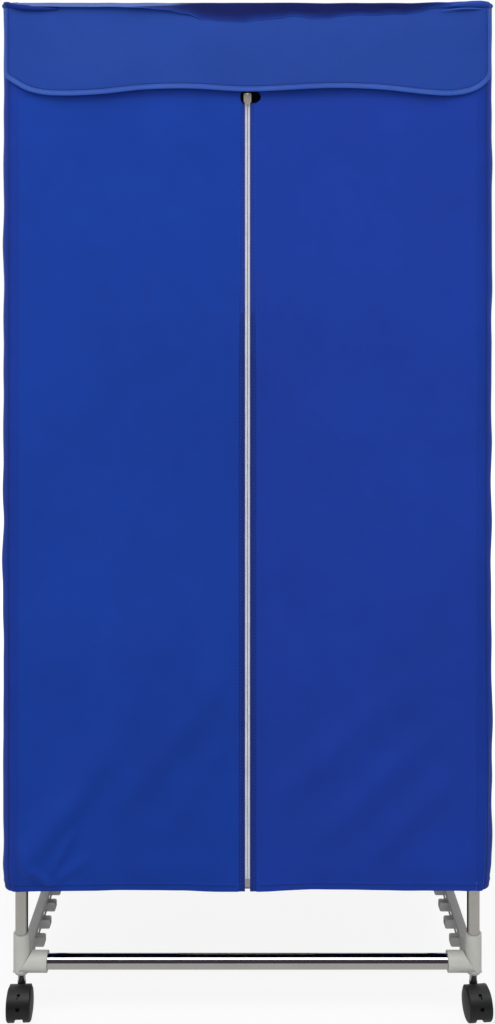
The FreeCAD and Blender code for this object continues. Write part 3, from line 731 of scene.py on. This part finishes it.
def stitches(name, lines, body, material="thread", pitch=0.0036, length=0.0029, radius=0.00042):
    return along(STITCH_TREE, name, lines, body, material,
                 Pitch=pitch, Length=length, Radius=radius)


# --- sides, back, header, top ---
SIDE_PITCH = 0.0060


def hem_to(high, pitch):
    """Heights from the hem up, close together over the hem's own step."""
    return steps(hem_z, hem_z + 0.013, 0.0013) + steps(hem_z + 0.013, high, pitch)[1:]


def slider_gap(x, z):
    """Where the cloth is folded away, beside the slider parked at the top of the zip."""
    above = (z - (notch_low_z + notch_high_z) / 2) / notch_round
    width = notch_width[side_of(x)] * (1 - 0.35 * above ** 2)
    return notch_low_z < z < notch_high_z and abs(x) < width


def finish_panel(node_name):
    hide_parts(node_name)


def hem_line(side, w_low, w_high):
    """The line of the hem's stitches."""
    return [cover_point(side, w, hem_z + hem_height + edge_wave(side, w), stitch_proud)
            for w in steps(w_low, w_high, 0.006)]


def side_panels():
    ws = (steps(seam_x + seam_gap, side_start, 0.0014) + steps(side_start, side_end, SIDE_PITCH)[1:]
          + steps(side_end, back_start, 0.0045)[1:])
    zs = hem_to(top_edge_z, 0.0062)
    for side, word in ((LEFT, "left"), (RIGHT, "right")):
        piece = cloth_panel("side_cloth_" + word,
                            lambda w, z: cover_point(side, w, z + hem_lift(side, w, z)),
                            ws, zs, (-side, 0, 0), "cloth_side", "frame")
        corner = [cover_point(side, corner_seam_w + 0.0024, z, 0.0003)
                  for z in steps(hem_z + 0.002, top_z - 0.006, 0.01)]
        seam = stitches("side_hem_stitches_" + word,
                        [hem_line(side, seam_x + 0.002, back_start), corner], "frame")
        finish_panel("cover_side_" + word)


def back_panel():
    ws = steps(-seam_x + seam_gap, seam_x - seam_gap, 0.0058)
    zs = hem_to(top_edge_z, 0.0070)

    def point(x, z):
        side = side_of(x)
        w = girth_half - abs(x)
        blend = smooth(abs(x), 0.0, 0.05)
        here = cover_point(side, w, z + hem_lift(side, w, z) * blend)
        here.y = mix(back_y + relief(RIGHT, girth_half, z), here.y, blend)
        here.x = x
        return here

    piece = cloth_panel("back_cloth", point, ws, zs, (0, -1, 0), "cloth_side", "frame")
    line = [point(x, hem_z + hem_height) + Vector((0, stitch_proud, 0))
            for x in steps(-0.33, 0.33, 0.006)]
    seam = stitches("back_hem_stitches", [line], "frame")
    finish_panel("cover_back")


def header_panel():
    near = 0.028  # the grid is fine this far from the middle, and this far up
    near_z = notch_high_z + 0.002
    ws = (steps(-seam_x + seam_gap, -near, 0.010) + steps(-near, near, 0.0016)[1:-1]
          + steps(near, seam_x - seam_gap, 0.010))
    zs = steps(door_top_z + seam_gap, near_z, 0.0014) + steps(near_z, top_edge_z, 0.010)[1:]

    def point(x, z):
        fall = edge_sag(x) * smooth(z, top_z - 0.040, top_edge_z)
        return cover_point(side_of(x), abs(x), z - fall)

    piece = cloth_panel("header_cloth", point, ws, zs, (0, 1, 0), "cloth_side", "frame", slider_gap)
    # a near-black sheet behind the gap by the slider: painted shadow of the cover's dark inside
    shadow_sheet_y = front_y + 0.0062
    shadow_sheet_x, shadow_sheet_low, shadow_sheet_high = 0.034, notch_low_z - 0.012, notch_high_z + 0.012
    corners = [(x, shadow_sheet_y, z) for x, z in (
        (-shadow_sheet_x, shadow_sheet_low), (shadow_sheet_x, shadow_sheet_low), (shadow_sheet_x, shadow_sheet_high), (-shadow_sheet_x, shadow_sheet_high))]
    mesh = thicken(mesh_from("slider_shadow_sheet", corners, [(0, 1, 2, 3)]), (0, 1, 0))
    shadow_sheet = add_object("slider_shadow_sheet", mesh, "painted_interior_shadow", "frame")
    finish_panel("cover_header")


def top_point(x, y):
    """The top's cloth at the grid's place (x, y), drawn into the rounded corners."""
    inside_x = min(x + half_width, half_width - x)
    inside_y = min(y - front_y, back_y - y)
    px, py = x, y
    if inside_x < corner_r and inside_y < corner_r:
        off = Vector((corner_r - inside_x, corner_r - inside_y))
        if off.length > corner_r:
            off = off * (corner_r / off.length)
        px = math.copysign(half_width - corner_r + off.x, x)
        py = (front_y + corner_r - off.y) if y < 0 else (back_y - corner_r + off.y)
    edge = min(inside_x, inside_y)
    sag = top_sag * smooth(edge, 0.03, 0.20)
    sag -= top_ripple * noise.noise(Vector((x * 9, y * 9, 1.7))) * smooth(edge, 0.0, 0.05)
    sag += edge_sag(x) * (1 - smooth(y - front_y, 0.0, 0.08))
    return Vector((px, py, top_z - max(sag, 0.0)))


def top_panel():
    xs = steps(-half_width, half_width, 0.008)
    ys = steps(front_y, back_y, 0.008)
    mesh = mesh_from("top_cloth", [top_point(x, y) for y in ys for x in xs],
                     grid_faces(len(ys), len(xs)))
    piece = add_object("top_cloth", thicken(mesh, (0, 0, -1)), "cloth_side", "frame")
    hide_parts("cover_top")


# --- doors ---
def placket_edge(z):
    """Half-width of the strips beside the zip, which open out below the slider."""
    return mix(placket_low, placket_top, smooth(z, 0.90, 1.20))


def door_columns():
    strip, gap = placket_low + 0.0024, notch_width[RIGHT] + 0.003
    return ([chain_half, chain_half + 0.0025] + steps(placket_top - 0.0020, strip, 0.0010)
            + steps(strip, gap, 0.0018)[1:] + steps(gap, seam_x - seam_gap, 0.0042)[1:])


def placket_finish(centre):
    """Which of a door's materials a face takes: its cloth's, or the strip's, above or below; the
    strip's colour below is painted shade.
    """
    if abs(centre.x) >= placket_edge(centre.z) - 0.0002:
        return 0
    return 2 if centre.z < placket_painted_shade_z else 1


def door_panels():
    ws = door_columns()
    fine_z = notch_low_z - 0.003
    zs = hem_to(fine_z, 0.0045) + steps(fine_z, door_top_z, 0.0014)[1:]
    for side, word in ((LEFT, "left"), (RIGHT, "right")):
        body = word + "_door"

        def point(w, z):
            edge = placket_edge(z)
            step = -placket_step * (1 - smooth(w, edge - 0.0010, edge + 0.0010))
            return cover_point(side, w, z + hem_lift(side, w, z), step)

        piece = cloth_panel("door_cloth_" + word, point, ws, zs, (0, 1, 0), "cloth_" + word, body,
                            lambda w, z: slider_gap(side * w, z))
        for material in ("placket", "placket_low"):
            piece.data.materials.append(MATERIALS[material])
        for face in piece.data.polygons:
            face.material_index = placket_finish(face.center)
        hem = stitches("door_hem_stitches_" + word, [hem_line(side, 0.020, seam_x - 0.003)], body)
        rows = [[cover_point(side, placket_edge(z) + off, z, out)
                 for z in steps(hem_z + 0.004, notch_low_z - 0.004, 0.01)]
                for off, out in ((0.0022, 0.0002), (-0.0026, -placket_step + 0.0002))]
        edge = stitches("placket_stitches_" + word, rows, body, "thread_pale", 0.0052, 0.0026,
                        0.00034)
        finish_panel("door_" + word)


side_panels()
back_panel()
header_panel()
top_panel()
door_panels()


# --- flap ---
def flap_low(x):
    """Height of the flap's wavy lower edge at x, by a smooth curve through flap_wave."""
    xs = [share * half_width for share, _ in flap_wave]
    zs = [top_z - drop for _, drop in flap_wave]
    if x <= xs[0]:
        return zs[0]
    if x >= xs[-1]:
        return zs[-1]
    k = max(i for i in range(len(xs) - 1) if xs[i] <= x)

    def slope(i):
        a, b = max(i - 1, 0), min(i + 1, len(xs) - 1)
        return (zs[b] - zs[a]) / (xs[b] - xs[a])

    span = xs[k + 1] - xs[k]
    t = (x - xs[k]) / span
    return ((2 * t**3 - 3 * t**2 + 1) * zs[k] + (t**3 - 2 * t**2 + t) * span * slope(k)
            + (3 * t**2 - 2 * t**3) * zs[k + 1] + (t**3 - t**2) * span * slope(k + 1))


def flap_x(w):
    """Distance from the middle, seen from the front, of a point w metres along the flap."""
    a = abs(w)
    if a > seam_x:
        a = seam_x + flap_r * math.sin((a - seam_x) / flap_r)
    return math.copysign(a, w)


def flap_point(w, z, out=0.0):
    a = abs(w)
    x, y, nx, ny = a, front_y, 0.0, -1.0
    if a > seam_x:
        turn = (a - seam_x) / flap_r
        nx, ny = math.sin(turn), -math.cos(turn)
        x, y = seam_x + corner_r * nx, front_y + corner_r * (1 + ny)
    drop = (flap_hinge_z - z) / (flap_hinge_z - door_top_z)
    held = mix(1.0, 0.12, smooth(a, seam_x - 0.075, seam_x + 0.006))  # the corners hold it in
    flare = flap_flare * smooth(drop, 0.0, 1.0) * held
    soft = 0.0011 * noise.noise(Vector((w * 9, z * 14, 5.2))) * smooth(drop, 0.0, 0.3)
    rise = flap_lift + cloth_thick + flare + soft + out
    return Vector((side_of(w) * (x + nx * rise), y + ny * rise, z))


def flap_panel():
    wrapped = steps(seam_x, flap_end, 0.0030)
    ws = [-w for w in reversed(wrapped)] + steps(-seam_x, seam_x, 0.0045)[1:-1] + wrapped
    rows = 34
    points = []
    for r in range(rows):
        for w in ws:
            low = flap_low(flap_x(w)) + 0.0012
            points.append(flap_point(w, mix(low, flap_hinge_z, r / (rows - 1))))
    mesh = thicken(mesh_from("flap_cloth", points, grid_faces(rows, len(ws))), (0, 1, 0))
    return add_object("flap_cloth", mesh, "cloth_flap", "flap")


def flap_edge_path():
    """The flap's free edge as (w, z): up the left side's edge, along the bottom, up the right."""
    bottom = [(w, flap_low(flap_x(w))) for w in steps(-flap_end, flap_end, 0.004)]
    left = [(-flap_end, z) for z in steps(bottom[0][1], flap_hinge_z - 0.004, 0.004)][1:]
    right = [(flap_end, z) for z in steps(bottom[-1][1], flap_hinge_z - 0.004, 0.004)][1:]
    return softened([Vector(p) for p in left[::-1] + bottom + right], 3)


def flap_binding(path, normals):
    """The tape folded round the flap's edge, as a closed strip swept along it."""
    over, under = tape_thick, -cloth_thick - tape_thick
    section = [
        (tape_height, 0.0), (tape_height - 0.0004, over), (tape_height * 0.5, over + 0.0003),
        (0.0006, over), (-0.0002, over * 0.4), (-0.0004, -cloth_thick / 2), (0.0, under * 0.8),
        (0.0008, under), (tape_height - 0.0004, under), (tape_height, -cloth_thick),
    ]
    points = []
    for p, inward in zip(path, normals):
        for a, out in section:
            q = p + inward * a
            points.append(flap_point(max(-flap_end, min(flap_end, q.x)), q.y, out))
    mesh = swept("flap_binding", points, len(section))
    return add_object("flap_binding", mesh, "tape", "flap")


def make_flap():
    cloth = flap_panel()
    path = flap_edge_path()
    normals = [Vector((-run.y, run.x)) for run in (run_at(path, k) for k in range(len(path)))]
    extras = [flap_binding(path, normals)]
    for word, a, out in (("low", tape_height - 0.0012, tape_thick + 0.0001),
                         ("high", tape_height + 0.0016, 0.0001)):
        line = [flap_point(p.x + n.x * a, p.y + n.y * a, out) for p, n in zip(path, normals)]
        extras.append(stitches("flap_stitches_" + word, [line], "flap"))
    finish_panel("front_flap")


make_flap()


# --- the rolled seams round the top ---
WELT = [  # x, height of the face, how far its top and its lower edge stand out
    (-0.345, 0.0030, 0.0012, 0.0040), (-0.332, 0.0060, 0.0008, 0.0068),
    (-0.250, 0.0070, 0.0008, 0.0074), (-0.190, 0.0072, 0.0008, 0.0082),
    (-0.160, 0.0088, 0.0012, 0.0086), (-0.120, 0.0112, 0.0030, 0.0070),
    (-0.090, 0.0160, 0.0060, 0.0052), (-0.063, 0.0246, 0.0084, 0.0035),
    (-0.040, 0.0286, 0.0092, 0.0034), (-0.008, 0.0290, 0.0096, 0.0034),
    (0.016, 0.0256, 0.0098, 0.0034), (0.045, 0.0212, 0.0100, 0.0035),
    (0.070, 0.0188, 0.0100, 0.0035), (0.102, 0.0222, 0.0096, 0.0034),
    (0.118, 0.0218, 0.0096, 0.0034), (0.140, 0.0184, 0.0098, 0.0035),
    (0.181, 0.0172, 0.0098, 0.0035), (0.225, 0.0152, 0.0094, 0.0035),
    (0.255, 0.0116, 0.0084, 0.0035), (0.275, 0.0084, 0.0070, 0.0035),
    (0.300, 0.0064, 0.0050, 0.0048), (0.322, 0.0052, 0.0034, 0.0050),
    (0.345, 0.0040, 0.0024, 0.0046),
]
WELT_ROWS = 14  # places down the seam's face


def fold_shade(x, down, height):
    """The seam's cloth at x, down metres below its top: pale at the left, a painted highlight where
    the strip faces up, and dark where it hangs, painted shade of the overhanging fold.
    """
    pale, dark, soft, plain = FOLD_LIGHT_AND_SHADE_COLOURS
    share = down / height
    cloth = [mix(a, b, smooth(share, 0.40, 0.92)) for a, b in zip(dark, soft)]
    cloth = [mix(a, b, smooth(share, 0.84, 1.03)) for a, b in zip(cloth, plain)]
    cloth = [mix(a, b, smooth(x, 0.235, 0.320)) for a, b in zip(cloth, plain)]
    strip = mix(0.0072, 0.0028, smooth(x, -0.190, -0.095))
    light = (1 - smooth(down, strip - 0.0006, strip + 0.0010)) * (1 - smooth(x, -0.120, -0.078))
    return [mix(a, b, light) for a, b in zip(cloth, pale)]


def top_welt():
    """The flat rolled seam of the top: it looks up at the left and hangs over further right."""
    points, colours = [], []
    for x in steps(WELT[0][0], WELT[-1][0], 0.003):
        height, out_top, out_low = along_table(WELT, x)
        hanging = smooth(x, -0.150, -0.060)
        wobble = 0.0005 * noise.noise(Vector((x * 30, 0.7, 2.2)))
        height += 0.0016 * noise.noise(Vector((x * 34, 4.4, 1.2))) * hanging
        z = top_z + 0.0002 + wobble - edge_sag(x)
        section = [(0.0, z), (out_top * 0.55, z + 0.0005)]
        for row in range(WELT_ROWS):
            down = mix(0.05, 1.0, row / (WELT_ROWS - 1))
            share = smooth(down, 0.0, 1.0)
            soft = 0.0012 * noise.noise(Vector((x * 38, down * 3, 8.1))) * hanging
            section.append((mix(out_top, out_low, share) + soft * share * (1 - share) * 4,
                            z - height * down))
        low_out, low_z = section[-1]
        section += [(low_out - 0.0010, low_z - 0.0003), (low_out - 0.0014, low_z + height * 0.2),
                    (0.0, z - 0.0032)]
        for out, high in section:
            points.append(Vector((x, front_y - out, high)))
            # the painted highlight and painted shade at this point of the seam
            colours.extend(fold_shade(x, min(max(z - high, 0.0), height), height))
    mesh = swept("top_welt", points, WELT_ROWS + 5)
    shade = mesh.attributes.new("fold_shade", "FLOAT_COLOR", "POINT")
    shade.data.foreach_set("color", colours)
    mesh.set_sharp_from_angle(angle=math.radians(60))
    add_object("top_welt", mesh, "welt", "flap")


EARS = {  # rolls of loose cloth: material, then along each x, how far forward, how far down, radius
    # its darker cloth is painted shade
    "ear_left": ("fold_painted_shade", [
        (-0.3615, -0.0140, -0.0010, 0.0016), (-0.3560, -0.0040, 0.0030, 0.0036),
        (-0.3440, 0.0036, 0.0078, 0.0042), (-0.3280, 0.0052, 0.0104, 0.0040),
        (-0.3020, 0.0048, 0.0116, 0.0034), (-0.2780, 0.0040, 0.0120, 0.0010)]),
    "ear_right": ("cloth_flap", [
        (0.2960, 0.0046, 0.0076, 0.0014), (0.3180, 0.0052, 0.0056, 0.0044),
        (0.3420, 0.0036, 0.0046, 0.0056), (0.3560, -0.0050, 0.0036, 0.0052),
        (0.3610, -0.0150, 0.0016, 0.0018)]),
    # its paler cloth is a painted highlight
    "ear_crease": ("crease", [
        (0.2850, 0.0050, 0.0150, 0.0006), (0.3120, 0.0060, 0.0116, 0.0013),
        (0.3380, 0.0044, 0.0112, 0.0014), (0.3520, -0.0014, 0.0116, 0.0007)]),
}


def corner_ears():
    for name, (material, places) in EARS.items():
        cloth_roll(name, [(x, front_y - forward, top_z - down) for x, forward, down, _ in places],
                   [radius for *_, radius in places], material, "flap")


def top_piping():
    """The piped seam round the sides and back of the top."""
    reach, z = corner_r + 0.0006, top_z - 0.0014
    line = []
    corners = ((1, -1, -60, 60), (1, 1, 0, 90), (-1, 1, 90, 90), (-1, -1, 180, 60))
    for sx, sy, start, span in corners:
        cx = sx * (half_width - corner_r)
        cy = front_y + corner_r if sy < 0 else back_y - corner_r
        for k in range(7):
            a = math.radians(start + span * k / 6)
            line.append(Vector((cx + reach * math.cos(a), cy + reach * math.sin(a), z)))
    places = []
    for a, b in zip(line, line[1:]):
        n = max(1, int((b - a).length / 0.02))
        places.extend(a + (b - a) * (k / n) for k in range(n))
    places.append(line[-1])
    cloth_roll("top_piping", places, [0.0017] * len(places), "tape", "frame", 0.9, 8)


top_welt()
corner_ears()
top_piping()


# --- zip ---
ZIP_GAP = 0.00022  # half of the gap between the two chains
TOOTH_PITCH, TOOTH_HALF = 0.00135, 0.0006
TOOTH_LEAN_DEG = 12
TAPE_FRONT, TAPE_BACK = 0.0001, 0.0012  # how far the tape's faces lie behind the cover's front


def make_zip():
    for side, word in ((LEFT, "left"), (RIGHT, "right")):
        x = side * (ZIP_GAP + (chain_half - ZIP_GAP) / 2)
        line = [(x, front_y - 0.0006, z) for z in steps(chain_low_z, chain_top_z, 0.02)]
        teeth = along(TOOTH_TREE, "zip_teeth_" + word, [line], word + "_door", "coil", "zip_white",
                      Pitch=TOOTH_PITCH, Length=chain_half - ZIP_GAP, Radius=TOOTH_HALF,
                      Slant=math.radians(90 + side * TOOTH_LEAN_DEG))
        left, right = sorted((side * ZIP_GAP, side * chain_half))
        bm = bmesh.new()
        bmesh.ops.create_cube(bm, size=1.0)
        for v in bm.verts:
            v.co = Vector((left if v.co.x < 0 else right,
                           front_y + (TAPE_FRONT if v.co.y < 0 else TAPE_BACK),
                           chain_low_z if v.co.z < 0 else chain_top_z))
        bmesh.ops.bevel(bm, geom=bm.edges[:], offset=0.0002, segments=2, affect="EDGES")
        name = "zip_tape_" + word
        add_object(name, mesh_of(bm, name), "zip_tape", word + "_door", "zip_white")
        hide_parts("zip_chain_" + word)


make_zip()


# --- the timer's dial ---
DIAL_TICKS, DIAL_TURN_DEG = 13, 150
DIAL_RADIUS = 0.0215
TICK_LONG, TICK_SHORT, TICK_WIDTH, TICK_THICK = 0.0046, 0.0028, 0.0009, 0.0003


def dial_marks():
    """Fifteen-minute ticks on the heater's front, round the timer knob."""
    low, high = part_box("heater_knob")
    centre = Vector(((low.x + high.x) / 2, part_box("heater_shell")[0].y, (low.z + high.z) / 2))
    bm = bmesh.new()
    for k in range(DIAL_TICKS):
        a = math.radians(mix(-DIAL_TURN_DEG, DIAL_TURN_DEG, k / (DIAL_TICKS - 1)))
        reach = TICK_LONG if k % 4 == 0 else TICK_SHORT
        out, across = Vector((math.sin(a), 0, math.cos(a))), Vector((math.cos(a), 0, -math.sin(a)))
        for v in bmesh.ops.create_cube(bm, size=1.0)["verts"]:
            r = DIAL_RADIUS + (v.co.z + 0.5) * reach
            v.co = (centre + out * r + across * (v.co.x * TICK_WIDTH)
                    + Vector((0, v.co.y * TICK_THICK, 0)))
    add_object("dial_marks", mesh_of(bm, "dial_marks"), "mark", "heater", "heater_dark")


dial_marks()


# --- floor, light, camera ---
FLOOR_GLOSS = (0.56, 0.555, 0.54, 1)
UNDER_PAINTED_SHADOW = (0.03, 0.03, 0.035, 1)
UNDER_MIDDLE_Y, UNDER_HALF = 0.05, (0.34, 0.20)  # the painted shadow on the floor under the cabinet, seen in reflections
BRIGHT_ROOM = (0.98, 0.98, 0.98, 1)
DIM_ROOM = (0.066, 0.060, 0.084, 1)
AMBIENT = (0.50, 0.505, 0.52, 1)
FLOOR_WHITE = (1.13, 1.13, 1.13, 1)
SHADOW_SHARE = 0.22  # how much of the floor's own shading shows near the cabinet


def light_path(tree, *kinds):
    """1 where the ray is of one of these kinds, else 0."""
    path = node(tree, "ShaderNodeLightPath").outputs
    total = path[kinds[0]]
    for kind in kinds[1:]:
        total = math_node(tree, "MAXIMUM", total, path[kind])
    return total


def distance(tree, vector):
    made = node(tree, "ShaderNodeVectorMath", operation="LENGTH")
    tree.links.new(vector, made.inputs[0])
    return made.outputs["Value"]


def floor_material():
    """White to the camera, with a faint shadow near the cabinet, and pale grey in reflections with
    a painted shadow under the cabinet.
    """
    material, tree, shader, where = new_material("pale_floor")
    shader["Base Color"].default_value = (0.62, 0.62, 0.61, 1)
    shader["Roughness"].default_value = 0.9
    seen = light_path(tree, "Is Camera Ray", "Is Transmission Ray")
    glossy = light_path(tree, "Is Glossy Ray")
    oval = scaled(tree, where, (1 / UNDER_HALF[0], 1 / UNDER_HALF[1], 1),
                  (0, -UNDER_MIDDLE_Y / UNDER_HALF[1], 0))
    open_floor = ramp(tree, distance(tree, oval), 0.80, 1.05)
    # in reflections the floor glows: painted shadow under the cabinet, pale grey beyond
    mirrored = colour_mix(tree, open_floor, UNDER_PAINTED_SHADOW, FLOOR_GLOSS)
    glow = node(tree, "ShaderNodeEmission")
    tree.links.new(colour_mix(tree, glossy, FLOOR_WHITE, mirrored), glow.inputs["Color"])
    wide = ramp(tree, distance(tree, where), 0.55, 1.10)
    plain = scaled_sum(tree, wide, SHADOW_SHARE, 1 - SHADOW_SHARE)
    share = math_node(tree, "MAXIMUM", math_node(tree, "MULTIPLY", seen, plain), glossy)
    choose = node(tree, "ShaderNodeMixShader")
    lit = tree.nodes["Principled BSDF"].outputs["BSDF"]
    for socket, value in zip(choose.inputs, (share, lit, glow.outputs["Emission"])):
        tree.links.new(value, socket)
    tree.links.new(choose.outputs["Shader"], tree.nodes["Material Output"].inputs["Surface"])
    return material


def studio_world():
    """White to the camera; in reflections a dim room in front with a bright ceiling over it."""
    world = bpy.data.worlds.new("studio")
    scene.world = world
    world.use_nodes = True
    tree = world.node_tree
    split = node(tree, "ShaderNodeSeparateXYZ")
    tree.links.new(node(tree, "ShaderNodeTexCoord").outputs["Generated"], split.inputs["Vector"])
    front = ramp(tree, math_node(tree, "MULTIPLY", split.outputs["Y"], -1.0), -0.15, 0.15)
    low = math_node(tree, "SUBTRACT", 1.0, ramp(tree, split.outputs["Z"], 0.70, 0.88))
    room = colour_mix(tree, math_node(tree, "MULTIPLY", front, low), BRIGHT_ROOM, DIM_ROOM)
    lit = colour_mix(tree, light_path(tree, "Is Glossy Ray"), AMBIENT, room)
    seen = light_path(tree, "Is Camera Ray", "Is Transmission Ray")
    tree.links.new(colour_mix(tree, seen, lit, (1, 1, 1, 1)),
                   tree.nodes["Background"].inputs["Color"])


def softbox(name, place, target, size, power, mirrored=True):
    data = bpy.data.lights.new(name, "AREA")
    data.shape = "RECTANGLE"
    data.size, data.size_y = size
    data.energy = power
    lamp = bpy.data.objects.new(name, data)
    lamp.location = place
    aim = Vector(target) - Vector(place)
    lamp.rotation_euler = aim.to_track_quat("-Z", "Y").to_euler()
    lamp.visible_glossy = mirrored
    scene.collection.objects.link(lamp)


def studio():
    corners = [(-6, -6, 0), (6, -6, 0), (6, 6, 0), (-6, 6, 0)]
    floor_mesh = mesh_from("floor", corners, [(0, 1, 2, 3)])
    floor = bpy.data.objects.new("floor", floor_mesh)
    scene.collection.objects.link(floor)
    floor_mesh.materials.append(floor_material())
    studio_world()
    softbox("overhead_softbox", (0, -1.6, 3.2), (0, 0, 0.9), (2.6, 1.6), 38)
    softbox("low_softbox", (0, -3.0, 0.45), (0, 0, 0.45), (2.4, 0.7), 7, False)
    softbox("left_softbox", (-2.6, -2.2, 1.5), (0, 0, 0.7), (1.2, 2.0), 12)
    softbox("right_softbox", (2.6, -2.2, 1.5), (0, 0, 0.7), (1.2, 2.0), 9)


def photo_camera():
    """Level, in front of the zip, 1.08 m up; the shift frames it as the photograph does."""
    lens_height, lens_back = 1.080, 1.904
    image_height = 1024.0
    focal_pixels = 1135.6
    horizon_row = 290.0
    data = bpy.data.cameras.new("photo_camera")
    data.sensor_fit = "VERTICAL"
    data.sensor_height = 36.0
    data.lens = focal_pixels / image_height * data.sensor_height
    data.shift_y = (horizon_row - image_height / 2) / image_height
    camera = bpy.data.objects.new("photo_camera", data)
    camera.location = (0.0, -lens_back, lens_height)
    camera.rotation_euler = (math.radians(90), 0, 0)
    scene.collection.objects.link(camera)
    scene.camera = camera


studio()
photo_camera()
scene.view_settings.view_transform = "Standard"
